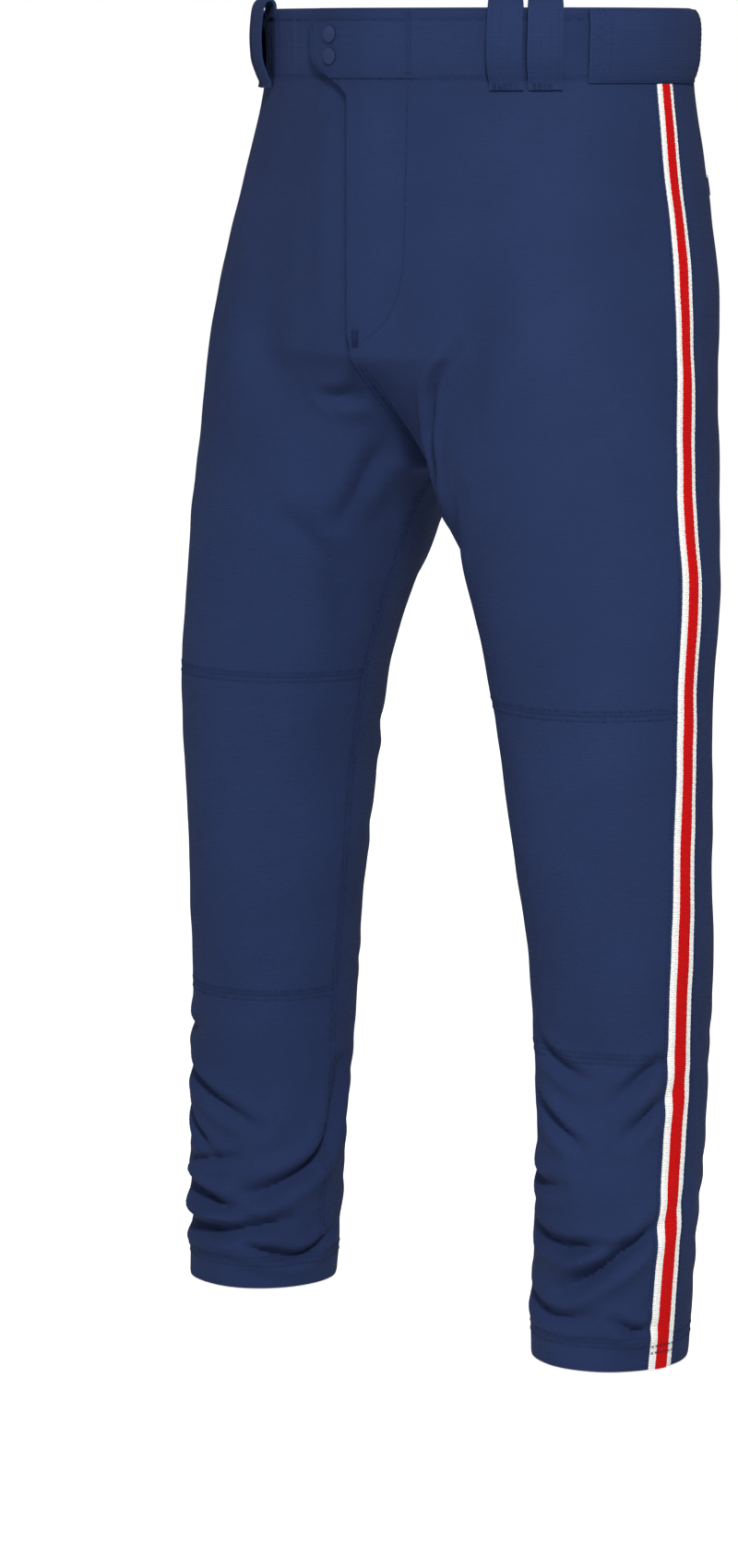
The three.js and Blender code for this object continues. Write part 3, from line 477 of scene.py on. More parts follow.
def knit_group():
    """Double-knit cloth: fine rows of loops, slow shade changes and a little fuzz."""
    if "Double Knit" in bpy.data.node_groups:
        return bpy.data.node_groups["Double Knit"]
    group = bpy.data.node_groups.new("Double Knit", "ShaderNodeTree")
    group_socket(group, "Stitch Size", "INPUT", "NodeSocketFloat", 0.0009)
    group_socket(group, "Height", "OUTPUT", "NodeSocketFloat")
    group_socket(group, "Shade", "OUTPUT", "NodeSocketFloat")
    group_socket(group, "Fuzz", "OUTPUT", "NodeSocketFloat")
    nodes, links = group.nodes, group.links
    start = nodes.new("NodeGroupInput")
    end = nodes.new("NodeGroupOutput")
    uv = nodes.new("ShaderNodeUVMap")
    uv.uv_map = "Cloth"
    split = nodes.new("ShaderNodeSeparateXYZ")
    links.new(uv.outputs[0], split.inputs[0])
    turn = math_node(nodes, "DIVIDE", 2 * math.pi, start.outputs["Stitch Size"])
    across = math_node(nodes, "SINE", math_node(nodes, "MULTIPLY", split.outputs[0], turn))
    half_turn = math_node(nodes, "MULTIPLY", turn, 0.7)
    lean = math_node(nodes, "ABSOLUTE", across)
    down = math_node(nodes, "MULTIPLY_ADD", split.outputs[1], half_turn, lean)
    loops = math_node(nodes, "MULTIPLY", math_node(nodes, "SINE", down), lean)
    position = nodes.new("ShaderNodeTexCoord")
    grain = nodes.new("ShaderNodeTexNoise")
    grain.inputs["Scale"].default_value = 900
    grain.inputs["Detail"].default_value = 2
    links.new(position.outputs["Object"], grain.inputs["Vector"])
    slow = nodes.new("ShaderNodeTexNoise")
    slow.inputs["Scale"].default_value = 9
    slow.inputs["Detail"].default_value = 3
    links.new(position.outputs["Object"], slow.inputs["Vector"])
    height = math_node(nodes, "MULTIPLY_ADD", grain.outputs["Fac"], 0.5, loops)
    links.new(height, end.inputs["Height"])
    mottled = math_node(nodes, "MULTIPLY", grain.outputs["Fac"], 0.35)
    shade = math_node(nodes, "MULTIPLY_ADD", slow.outputs["Fac"], 0.65, mottled)
    links.new(shade, end.inputs["Shade"])
    links.new(grain.outputs["Fac"], end.inputs["Fuzz"])
    return group


def cloth_material(name, dark, light, stitch_size, relief, roughness=0.85, sheen=0.04):
    if name in bpy.data.materials:
        return bpy.data.materials[name]
    material = bpy.data.materials.new(name)
    material.use_nodes = True
    nodes, links = material.node_tree.nodes, material.node_tree.links
    shader = nodes["Principled BSDF"]
    knit = nodes.new("ShaderNodeGroup")
    knit.node_tree = knit_group()
    knit.inputs["Stitch Size"].default_value = stitch_size
    ramp = nodes.new("ShaderNodeValToRGB")
    ramp.color_ramp.elements[0].position = 0.3
    ramp.color_ramp.elements[0].color = (*dark, 1)
    ramp.color_ramp.elements[1].position = 0.7
    ramp.color_ramp.elements[1].color = (*light, 1)
    links.new(knit.outputs["Shade"], ramp.inputs["Fac"])
    links.new(ramp.outputs["Color"], shader.inputs["Base Color"])
    rough = math_node(nodes, "MULTIPLY_ADD", knit.outputs["Fuzz"], 0.12, roughness - 0.06)
    links.new(rough, shader.inputs["Roughness"])
    bump = nodes.new("ShaderNodeBump")
    bump.inputs["Strength"].default_value = 1.0
    bump.inputs["Distance"].default_value = relief
    links.new(knit.outputs["Height"], bump.inputs["Height"])
    links.new(bump.outputs["Normal"], shader.inputs["Normal"])
    shader.inputs["Sheen Weight"].default_value = sheen
    shader.inputs["Sheen Roughness"].default_value = 0.5
    shader.inputs["Sheen Tint"].default_value = (*[min(1, 3 * c + 0.1) for c in light], 1)
    shader.inputs["Specular IOR Level"].default_value = 0.12
    return material


def worn_group():
    """Small scratches and dulling on a hard surface."""
    if "Handled Surface" in bpy.data.node_groups:
        return bpy.data.node_groups["Handled Surface"]
    group = bpy.data.node_groups.new("Handled Surface", "ShaderNodeTree")
    group_socket(group, "Scale", "INPUT", "NodeSocketFloat", 400)
    group_socket(group, "Height", "OUTPUT", "NodeSocketFloat")
    group_socket(group, "Dulling", "OUTPUT", "NodeSocketFloat")
    nodes, links = group.nodes, group.links
    start = nodes.new("NodeGroupInput")
    end = nodes.new("NodeGroupOutput")
    position = nodes.new("ShaderNodeTexCoord")
    fine = nodes.new("ShaderNodeTexNoise")
    fine.inputs["Detail"].default_value = 4
    links.new(position.outputs["Object"], fine.inputs["Vector"])
    links.new(start.outputs["Scale"], fine.inputs["Scale"])
    links.new(fine.outputs["Fac"], end.inputs["Height"])
    broad = nodes.new("ShaderNodeTexNoise")
    broad.inputs["Scale"].default_value = 160
    links.new(position.outputs["Object"], broad.inputs["Vector"])
    links.new(broad.outputs["Fac"], end.inputs["Dulling"])
    return group


def hard_material(name, dark, light, metallic, roughness, specular=0.5):
    if name in bpy.data.materials:
        return bpy.data.materials[name]
    material = bpy.data.materials.new(name)
    material.use_nodes = True
    nodes, links = material.node_tree.nodes, material.node_tree.links
    shader = nodes["Principled BSDF"]
    worn = nodes.new("ShaderNodeGroup")
    worn.node_tree = worn_group()
    worn.inputs["Scale"].default_value = 500
    ramp = nodes.new("ShaderNodeValToRGB")
    ramp.color_ramp.elements[0].position = 0.35
    ramp.color_ramp.elements[0].color = (*dark, 1)
    ramp.color_ramp.elements[1].position = 0.65
    ramp.color_ramp.elements[1].color = (*light, 1)
    links.new(worn.outputs["Dulling"], ramp.inputs["Fac"])
    links.new(ramp.outputs["Color"], shader.inputs["Base Color"])
    rough = math_node(nodes, "MULTIPLY_ADD", worn.outputs["Dulling"], 0.25, roughness - 0.12)
    links.new(rough, shader.inputs["Roughness"])
    shader.inputs["Metallic"].default_value = metallic
    shader.inputs["Specular IOR Level"].default_value = specular
    bump = nodes.new("ShaderNodeBump")
    bump.inputs["Distance"].default_value = 0.00004
    bump.inputs["Strength"].default_value = 0.6
    links.new(worn.outputs["Height"], bump.inputs["Height"])
    links.new(bump.outputs["Normal"], shader.inputs["Normal"])
    return material


def tone(color, factor):
    return tuple(min(1.0, c * factor) for c in color)


def settings():
    return bpy.context.scene.pants_settings


def navy():
    color = tuple(settings().navy)
    return cloth_material("Navy double knit", tone(color, 0.84), tone(color, 1.14), 0.0011, 0.00009)


def lining():
    color = tone(tuple(settings().navy), 0.8)
    return cloth_material("Navy lining weave", tone(color, 0.85), tone(color, 1.1), 0.0006, 0.00008, 0.8)


def thread():
    color = tone(tuple(settings().navy), 0.9)
    return hard_material("Navy polyester thread", tone(color, 0.8), tone(color, 1.2), 0.0, 0.8, 0.08)


def white_knit():
    color = tuple(settings().white)
    return cloth_material("White braid rib", tone(color, 0.93), color, 0.0012, 0.0003, 0.8, 0.0)


def red_knit():
    color = tuple(settings().red)
    return cloth_material("Red braid rib", tone(color, 0.88), tone(color, 1.08), 0.0012, 0.0003, 0.85, 0.0)


def metal():
    return hard_material("Plated zip metal", (0.45, 0.46, 0.48), (0.6, 0.61, 0.63), 1.0, 0.34)


def enamel():
    color = tuple(settings().navy)
    return hard_material("Navy snap enamel", tone(color, 0.85), tone(color, 1.1), 0.0, 0.6, 0.2)


def tooth_plastic():
    color = tone(tuple(settings().navy), 0.7)
    return hard_material("Navy moulded teeth", tone(color, 0.8), tone(color, 1.2), 0.0, 0.5)


def elastic_knit():
    return cloth_material("Elastic webbing", (0.66, 0.66, 0.63), (0.8, 0.8, 0.77), 0.0018, 0.0004, 0.85, 0.1)


def satin():
    return cloth_material("Blank satin label", (0.8, 0.8, 0.8), (0.9, 0.9, 0.9), 0.0004, 0.00003, 0.45, 0.1)


# ---------- thread ----------

STITCH = [(0.0, 0.10), (0.22, 1.0), (0.78, 1.0), (1.0, 0.10)]  # share of length, share of width


def stitch_mesh(name, runs, body, length=2.6, gap=1.0, width=0.75, lift=0.15):
    """Rows of short raised stitches along runs of (points, normals), all in one mesh."""
    points, faces = [], []
    for line, normals in runs:
        line, normals = np.asarray(line, float), np.asarray(normals, float)
        steps = np.linalg.norm(np.diff(line, axis=0), axis=1)
        run = np.concatenate([[0], np.cumsum(steps)])
        count = int(run[-1] // (length + gap))
        for i in range(count):
            begin = i * (length + gap)
            rings = []
            for share, girth in STITCH:
                at = begin + share * length
                centre = np.array([np.interp(at, run, line[:, k]) for k in range(3)])
                normal = np.array([np.interp(at, run, normals[:, k]) for k in range(3)])
                rings.append((centre, normal / max(np.linalg.norm(normal), 1e-9), girth))
            along = rings[-1][0] - rings[0][0]
            along /= max(np.linalg.norm(along), 1e-9)
            first = len(points)
            for centre, normal, girth in rings:
                side = np.cross(along, normal)
                half = width / 2 * girth
                base = centre - normal * 0.25
                top = centre + normal * lift * (0.4 + 0.6 * girth)
                foot, crest = side * half, side * half * 0.7
                points += [base + foot, top + crest, top - crest, base - foot]
            last = first + 4 * (len(rings) - 1)
            faces.append((first, first + 1, first + 2, first + 3))
            for ring in range(first, last, 4):
                for k in range(4):
                    nxt = (k + 1) % 4
                    faces.append((ring + k, ring + 4 + k, ring + 4 + nxt, ring + nxt))
            faces.append((last + 3, last + 2, last + 1, last))
    obj = new_object(name, points, faces)
    select_only(obj)
    bpy.ops.object.mode_set(mode="EDIT")
    bpy.ops.mesh.select_all(action="SELECT")
    bpy.ops.mesh.normals_make_consistent(inside=False)
    bpy.ops.object.mode_set(mode="OBJECT")
    place(obj, body, thread(), "navy_knit")
    return obj


def line_on_cloth(side, z, t, height=0.0):
    """Points and normals along a line on the worn cloth, for a row of stitches."""
    z, t = np.broadcast_arrays(np.asarray(z, float), np.asarray(t, float))
    low_points = cloth_point(side, z, t, height)
    high_points = cloth_point(side, z, t, height + 1.0)
    return low_points, high_points - low_points


# ---------- settings ----------


class PantsSettings(bpy.types.PropertyGroup):
    """Colours and cloth of the whole garment."""

    navy: bpy.props.FloatVectorProperty(
        name="Navy", description="Linear colour of the double knit", subtype="COLOR", size=3,
        min=0, max=1, default=(0.0118, 0.0220, 0.0715),
    )
    white: bpy.props.FloatVectorProperty(
        name="White", description="Linear colour of the braid's edges", subtype="COLOR", size=3,
        min=0, max=1, default=(0.86, 0.86, 0.86),
    )
    red: bpy.props.FloatVectorProperty(
        name="Red", description="Linear colour of the braid's stripe", subtype="COLOR", size=3,
        min=0, max=1, default=(0.56, 0.001, 0.002),
    )
    cloth: bpy.props.FloatProperty(
        name="Cloth", description="Thickness of the double knit", subtype="DISTANCE", unit="LENGTH",
        min=0.0004, max=0.003, default=0.0012,
    )
    grid: bpy.props.FloatProperty(
        name="Mesh spacing", description="Distance between the points of a panel", subtype="DISTANCE",
        unit="LENGTH", min=0.001, max=0.02, default=0.0026,
    )


def cloth_thickness():
    return settings().cloth / M


def spacing():
    return settings().grid / M


# ---------- panels ----------


def panel_rows(top, bottom):
    """Heights down a panel, with extra rows at its edges for the turned seams."""
    rows = np.linspace(top, bottom, max(8, round((top - bottom) / spacing())) + 1)
    edge = np.array([0.6, 1.5, 2.6])
    return np.unique(np.concatenate([rows, top - edge, bottom + edge]))[::-1]


def seam_dip(distance, depth=0.32, reach=0.9):
    """Cloth rolls down into a seam over its last few millimetres."""
    return -depth * np.exp(-((distance / reach) ** 2))


def seam_pucker(distance, along, seed, depth=0.32, reach=7.0, pitch=6.5):
    """Small gathers along a seam's stitching."""
    hand = random.Random(seed)
    wave = np.zeros_like(along)
    for k in (1.0, 0.61, 1.7):
        wave += np.sin(2 * math.pi * along / (pitch / k) + hand.uniform(0, 6.28))
    return depth * wave / 2 * np.exp(-((distance / reach) ** 2))


def panel_points(side, top, bottom, first_t, last_t, seams="tblr", seed=1):
    """A panel's outer face as a grid, worn, with its seams turned in, and the same grid unworn."""
    rows = panel_rows(top, bottom)
    begin, end = first_t(rows), last_t(rows)
    count = max(8, round(float(np.max((end - begin) * half_girth(rows))) / spacing()))
    share = np.unique(np.concatenate([np.linspace(0, 1, count + 1), [0.006, 0.016, 0.984, 0.994]]))
    z = np.repeat(rows[:, None], len(share), axis=1)
    t = begin[:, None] + (end - begin)[:, None] * share
    girth = half_girth(z)
    gaps = {
        "t": top - z, "b": z - bottom,
        "l": (t - begin[:, None]) * girth, "r": (end[:, None] - t) * girth,
    }
    height = np.zeros(z.shape)
    for k, name in enumerate("tblr"):
        along = t * girth if name in "tb" else z
        if name in seams:
            height = height + seam_dip(gaps[name]) + seam_pucker(gaps[name], along, seed + k)
    worn = cloth_point(side, z, t, height)
    return worn, cloth_point(side, z, t, 0.0, worn=False)


def side_seam(z):
    return profile(SIDE_SEAM_T, z)


def edge_gap(z):
    """The clearance at a joined edge, in units of t."""
    return EDGE_GAP / half_girth(z)


def before_side(z):
    return side_seam(z) - edge_gap(z)


def after_side(z):
    return side_seam(z) + edge_gap(z)


def inseam_edge(z):
    return -1 + edge_gap(z)


def back_edge(z):
    return 1 - edge_gap(z)


def build_panel(name, side, grid, *nodes, body="root", rests=(), joined=False):
    worn, smooth_grid = grid
    obj = sheet_from_grid(name, worn, cloth_thickness(), flip=side > 0, meets_middle=joined)
    place(obj, body, navy(), "navy_knit", *nodes)
    return obj


def t_at_x(x, z):
    """Where a distance from the centre front falls on the front, above the fly's end."""
    return -2 / math.pi * np.arccos(np.clip((x - SEAM_HALF_GAP) / profile(SIDE_LINE, z), -1, 1))


def free_edge_x(z):
    """The left front's free edge: the tab's rounded corner, its slant, then straight down the fly."""
    corner = np.maximum(z + TAB_CORNER, 0)
    rounding = TAB_CORNER - np.sqrt(TAB_CORNER**2 - corner**2)
    sweep = smooth(0, 1, (TAB_SLANT_TOP_Z - z) / TAB_SWEEP)
    return -TAB_REACH + rounding + sweep * (TAB_REACH + OVERLAP_X)


def front_point(x, z, height, worn=True):
    """A point under the fly, measured from the right front's face."""
    return cloth_point(-1, z, t_at_x(-np.asarray(x, float), np.asarray(z, float)), height, worn)


def across_fly(obj):
    """Bakes the object's transform into its mesh."""
    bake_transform(obj)


def left_front_edge(z):
    flap = t_at_x(free_edge_x(z) - OVERLAP_X * smooth(FLY_END_Z + 14, FLY_END_Z + 3, z), z)
    return np.where(z > FLY_END_Z, flap, inseam_edge(z))


def build_fronts():
    top, bottom = -BAND_HEIGHT - EDGE_GAP, KNEE_TOP_Z + 2 * EDGE_GAP
    grid = panel_points(1, top, bottom, left_front_edge, before_side, seams="tbr", seed=3)
    left = build_panel("front_left", 1, grid, "front_panel_left", "fly_overlap", body=None)
    across_fly(left)
    grid = panel_points(-1, top, bottom, inseam_edge, before_side, seams="tblr", seed=9)
    build_panel("front_right", -1, grid, "front_panel_right", joined=True)


def build_lower_legs():
    for label, side in SIDES:
        rests = ("front_" + label,)
        spans = [
            ("knee_" + label, KNEE_TOP_Z, KNEE_END_Z + EDGE_GAP, "knee_panel_" + label, "tblr", 31),
            ("shin_" + label, KNEE_END_Z - EDGE_GAP, HEM_TOP_Z + EDGE_GAP, "shin_panel_" + label, "tlr", 47),
        ]
        for name, top, bottom, node, seams, seed in spans:
            grid = panel_points(side, top, bottom, inseam_edge, before_side, seams, seed + side)
            build_panel(name, side, grid, node, rests=rests)
            rests = (name,)


def build_backs():
    top, bottom = -BAND_HEIGHT - EDGE_GAP, HEM_TOP_Z + EDGE_GAP
    for label, side in SIDES:
        grid = panel_points(side, top, bottom, after_side, back_edge, "tlr", 60 + side)
        build_panel("back_" + label, side, grid, "back_panel_" + label, joined=True)


def build_hems():
    """Each hem is one strip turned up on itself round the ankle."""
    for label, side in SIDES:
        columns = np.linspace(-1, 1, 121)[:-1]
        top, turn = HEM_TOP_Z - EDGE_GAP, HEM_Z + 1.0
        path = [(-0.12, top), (0, top - 0.8), (0, top - 2.0)]
        path += [(0, z) for z in np.linspace(top - 6, turn + 1.5, 5)]
        path += [(-0.35, HEM_Z + 0.35), (-1.6, HEM_Z), (-2.85, HEM_Z + 0.35)]
        path += [(-3.2, z) for z in np.linspace(turn + 1.5, top, 5)]
        height = np.array([p[0] for p in path])[:, None]
        z = np.array([p[1] for p in path])[:, None]
        points = cloth_point(side, np.maximum(z, HEM_Z), columns, height)
        flat = cloth_point(side, z, columns, height, worn=False)
        obj = sheet_from_grid("hem_sheet_" + label, points, 1.1, closed=True, flip=side > 0)
        place(obj, "root", navy(), "navy_knit", "hem_" + label)


KNEE_LINING_ROWS = (KNEE_TOP_Z - 6, KNEE_END_Z + 6)
KNEE_LINING_T = -0.95
BAG_ROWS = (-110, -268)
BAG_T = (0.42, 0.76)
SIDE_MARGIN_T = 0.05
LINING_DEPTH = 4.5
LINING_THICKNESS = 0.9
TAPE_THICKNESS = 0.8
# One layer behind the fly: piece, node, sides and ends in millimetres, height, thickness
FLY_LAYERS = [
    ("fly_facing_sheet", "fly_facing", 20, 54, -48.6, -188.6, -2.6, LINING_THICKNESS),
    ("fly_shield_sheet", "fly_shield", -14, 40, -30, -234, -7.4, LINING_THICKNESS),
    ("zip_tape_sheet_left", "zip_tape_left", ZIP_X + 4.5, ZIP_X + 24.3, -48.6, -230, -4.2, TAPE_THICKNESS),
    ("zip_tape_sheet_right", "zip_tape_right", ZIP_X - 24.3, ZIP_X - 4.5, -48.6, -230, -4.2, TAPE_THICKNESS),
]


def build_linings():
    """Hidden layers: the knees' second ply, the pocket bags and the layers behind the fly."""
    for label, side in SIDES:
        pieces = [
            ("knee_lining_sheet_", "knee_lining_", KNEE_LINING_ROWS, KNEE_LINING_T, None, "knee_"),
            ("pocket_bag_sheet_", "pocket_bag_", BAG_ROWS, *BAG_T, "back_"),
        ]
        for name, node, (top, bottom), begin, end, rests in pieces:
            z = np.linspace(top, bottom, round((top - bottom) / 6))[:, None]
            last = side_seam(z) - SIDE_MARGIN_T if end is None else np.full(z.shape, end)
            t = begin + (last - begin) * np.linspace(0, 1, 40)
            points = cloth_point(side, z, t, -LINING_DEPTH)
            obj = sheet_from_grid(name + label, points, LINING_THICKNESS, flip=side > 0)
            place(obj, "root", lining(), "navy_lining", node + label)
            flat = cloth_point(side, z, t, -LINING_DEPTH, worn=False)
    for name, node, first, last, top, bottom, height, thickness in FLY_LAYERS:
        z = np.linspace(top, bottom, 48)[:, None]
        x = np.linspace(first, last, 12)
        points = front_point(x, z, height)
        obj = sheet_from_grid(name, points, thickness)
        place(obj, "root", lining(), "navy_lining", node)
        rests = ("waistband_sheet_right",) if node == "fly_shield" else ("front_left",)
        front_point(x, z, height, worn=False)


# ---------- waistband ----------

BAND_PROFILE = [  # share of the way in from the outer face, height
    (0.0, -BAND_HEIGHT), (0, -46.4), (0, -43), (0, -38), (0, -32), (0, -26), (0, -20), (0, -14), (0, -10),
    (0, -8), (0, -6), (0, -3.6), (0.05, -1.7), (0.2, -0.5), (0.5, 0), (0.8, -0.5), (0.95, -1.7), (1, -3.6),
    (1, -8), (1, -14), (1, -20), (1, -27), (1, -34), (1, -41), (1, -BAND_HEIGHT + 0.6),
]


BAND_THICKNESS = 1.2
BAND_DEPTH = 6.0
TAB_DEPTH = 1.6
BAND_END_T = 0.9999
BAND_COLUMNS_LEFT = 330
BAND_COLUMNS_RIGHT = 310
BAND_ROWS = (-8.0, -46.4)
ELASTIC_ENDS_X = (56, 14)
ELASTIC_ROWS = (-3.0, -41.6)
LABEL_HALF_WIDTH = 21
LABEL_ROWS = (-8, -38)


def band_relief(z, along, gather):
    """Stitch line sunk under the top edge, and the elastic's soft gathers."""
    upper, lower = BAND_ROWS
    sunk = -0.7 * np.exp(-(((z - upper) / 1.6) ** 2)) - 0.6 * np.exp(-(((z - lower) / 1.2) ** 2))
    waves = np.sin(along * 0.62) + 0.6 * np.sin(along * 0.37 + 1.3) + 0.4 * np.sin(along * 1.13)
    body = np.clip(np.sin(np.clip(-z / BAND_HEIGHT, 0, 1) * math.pi), 0, 1) ** 0.5
    return sunk + gather * 0.22 * waves * body


def band_grid(side, begin, count, tab):
    share_in = np.array([p[0] for p in BAND_PROFILE])[:, None]
    z = np.array([p[1] for p in BAND_PROFILE])[:, None]
    first = begin(z)
    t = first + (BAND_END_T - first) * np.linspace(0, 1, count)
    x = profile(SIDE_LINE, z) * np.cos(t * math.pi / 2)
    in_tab = (1 - smooth(44, 58, x)) * (t < 0) if tab else np.zeros(x.shape)
    inner = -BAND_DEPTH * (1 - in_tab) - TAB_DEPTH * in_tab
    along = t * half_girth(z)
    gather = smooth(0.2, 0.5, t + 1) if tab else smooth(0.05, 0.3, t + 1)
    relief = band_relief(z, along, gather) * (1 - share_in)
    height = in_tab + (inner - in_tab) * share_in
    worn = cloth_point(side, z, t, height + relief)
    return worn, cloth_point(side, z, t, height, worn=False)


def build_waistband():
    tab_end = lambda z: t_at_x(free_edge_x(np.maximum(z, -BAND_HEIGHT)), z)
    left, left_flat = band_grid(1, tab_end, BAND_COLUMNS_LEFT, True)
    obj = sheet_from_grid("waistband_sheet_left", left, BAND_THICKNESS, flip=False)
    place(obj, None, navy(), "navy_knit", "waistband_left", "snap_tab")
    across_fly(obj)
    underlap_end = lambda z: t_at_x(-UNDERLAP_X + 0 * z, z)
    right, right_flat = band_grid(-1, underlap_end, BAND_COLUMNS_RIGHT, False)
    obj = sheet_from_grid("waistband_sheet_right", right, BAND_THICKNESS, flip=True)
    place(obj, "root", navy(), "navy_knit", "waistband_right")
    build_elastic()
    build_label()


def waist_run(degrees, z, height):
    """A point on the waist by its angle: 0 at the left side, 90 at the back, 180 at the right side."""
    degrees, z, height = np.broadcast_arrays(np.asarray(degrees, float), z, height)
    t = np.where(degrees <= 90, degrees / 90, (180 - degrees) / 90)
    left = cloth_point(1, z, t, height, worn=False)
    right = cloth_point(-1, z, t, height, worn=False)
    return np.where((degrees <= 90)[..., None], left, right)


def build_elastic():
    first, last = (math.degrees(math.asin(x / WAIST_HALF_WIDTH)) for x in ELASTIC_ENDS_X)
    degrees = np.linspace(first - 90, 270 + last, 260)
    z = np.linspace(*ELASTIC_ROWS, 12)[:, None]
    points = waist_run(degrees, z, -2.3)
    obj = sheet_from_grid("elastic_sheet", points, 1.4, flip=False)
    for polygon in obj.data.polygons:
        polygon.use_smooth = True
    flip_if_inward(obj)
    place(obj, "root", elastic_knit(), "elastic", "waist_elastic")


def build_label():
    half = LABEL_HALF_WIDTH / WAIST_HALF_WIDTH
    degrees = 90 + np.degrees(np.linspace(-half, half, 20))
    z = np.linspace(*LABEL_ROWS, 12)[:, None]
    points = waist_run(degrees, z, -6.9)
    obj = sheet_from_grid("label_sheet", points, 0.4, flip=True)
    place(obj, "root", satin(), "label_satin", "care_label")


def flip_if_inward(obj):
    select_only(obj)
    bpy.ops.object.mode_set(mode="EDIT")
    bpy.ops.mesh.select_all(action="SELECT")
    bpy.ops.mesh.normals_make_consistent(inside=False)
    bpy.ops.object.mode_set(mode="OBJECT")


# ---------- straps: belt loops and tunnels ----------

LOOP_PATH = [
    (2.4, -56), (2.5, -51.5), (5.6, -46), (9.2, -37), (10.2, -28), (10.2, -18), (9.0, -7),
    (7.6, 1.0), (5.4, 4.8), (2.6, 5.2), (0.6, 2.8), (0.3, -1.5), (0.3, -6),
]
TUNNEL_PATH = [
    (1.6, -51.4), (1.7, -49.6), (3.8, -45.5), (6.2, -37), (6.7, -28), (6.7, -16), (5.6, -7.5),
    (3.4, -2.6), (1.7, -0.8),
]


LOOP_DEGREES = {"side": 38.5, "front": 48.7}
LOOP_HALF_WIDTH = 11.6
LOOP_THICKNESS = 1.9
TUNNEL_HALF_WIDTH = 60
BACK_TUNNEL_HALF_WIDTH = 68
TUNNEL_THICKNESS = 1.2


def strap_speed(t):
    """How many millimetres of waist one unit of t covers."""
    return float(np.linalg.norm(face(-20.0, t + 0.01) - face(-20.0, t - 0.01)) / 0.02)


def strap(name, side, middle_degrees, half_width, path, thickness, node):
    line = curve_points(path, steps=5)
    height, z = line[:, 0][:, None], line[:, 1][:, None]
    t0 = middle_degrees / 90
    across = np.linspace(-half_width, half_width, max(13, round(half_width)) | 1)
    t = t0 + across / strap_speed(t0)
    edge = np.exp(-(((half_width - np.abs(across)) / 1.1) ** 2)) * 0.35
    points = strap_points(side, z, t, height - edge)
    obj = sheet_from_grid(name, points, thickness, flip=False)
    flip_if_inward(obj)
    place(obj, "root", navy(), "navy_knit", node)
    return obj


def strap_points(side, z, t, height):
    """Points of a strap on the waist, with t free to run past either centre line."""
    degrees = t * 90 if side > 0 else 180 - t * 90
    return waist_run(degrees, z, height)


def build_straps():
    for label, side in SIDES:
        for spot, forward in LOOP_DEGREES.items():
            name, node = f"belt_loop_sheet_{label}_{spot}", f"belt_loop_{label}_{spot}"
            strap(name, side, -forward, LOOP_HALF_WIDTH, LOOP_PATH, LOOP_THICKNESS, node)
        name, node = f"belt_tunnel_sheet_{label}", f"belt_tunnel_{label}"
        strap(name, side, 0, TUNNEL_HALF_WIDTH, TUNNEL_PATH, TUNNEL_THICKNESS, node)
    name, node = "belt_tunnel_sheet_back", "belt_tunnel_back"
    strap(name, 1, 90, BACK_TUNNEL_HALF_WIDTH, TUNNEL_PATH, TUNNEL_THICKNESS, node)


# ---------- braid and pockets ----------


TAPE_HALF_WIDTH = 10.0
STRIPE_HALF_WIDTH = 5.4
TAPE_TOP = 1.6
STRIPE_TOP = 2.2


def braid_layer(name, side, half, count, top, thickness, material, slot, node):
    """One woven layer of the braid: its object and its unworn points."""
    z = np.linspace(-BAND_HEIGHT - 4.2, HEM_Z + 0.6, 700)[:, None]
    across = np.linspace(-half, half, count)
    t = side_seam(z) + across / half_girth(z)
    roll = -0.8 * (np.abs(across) / half) ** 6
    rib = 0.16 * np.sin(z * 2 * math.pi / 1.9)
    points = cloth_point(side, z, t, top + roll + rib)
    obj = sheet_from_grid(name, points, thickness, flip=side > 0)
    place(obj, "root", material, slot, node)
    return obj, cloth_point(side, z, t, top, worn=False)


def build_braid():
    """A ribbed white tape with a red stripe woven along its middle, lying on the worn cloth."""
    for label, side in SIDES:
        tape, flat = braid_layer(
            "braid_tape_sheet_" + label, side, TAPE_HALF_WIDTH, 21, TAPE_TOP, 1.0, white_knit(),
            "white_braid", "braid_tape_" + label,
        )
        stripe, _ = braid_layer(
            "braid_stripe_woven_" + label, side, STRIPE_HALF_WIDTH, 11, STRIPE_TOP, 0.5, red_knit(),
            "red_braid", "braid_stripe_" + label,
        )


def build_pockets():
    for label, side in SIDES:
        z = np.array([-117.8, -118.2, -119.2, -121, -124, -127.5, -129.8, -130.8, -131.2])[:, None]
        puff = np.array([1.0, 1.5, 1.9, 2.1, 2.2, 2.1, 1.9, 1.5, 1.0])[:, None]
        t = np.linspace(0.4, 0.78, 60)
        points = cloth_point(side, z, t, puff)
        obj = sheet_from_grid("pocket_welt_sheet_" + label, points, 1.2, flip=side > 0)
        place(obj, "root", navy(), "navy_knit", "pocket_welt_" + label)


# ---------- snaps and kept metal ----------


CAP_RADIUS = 0.0058
CAP_DEPTH = 0.0013
CAP_ROUNDING = 0.0004


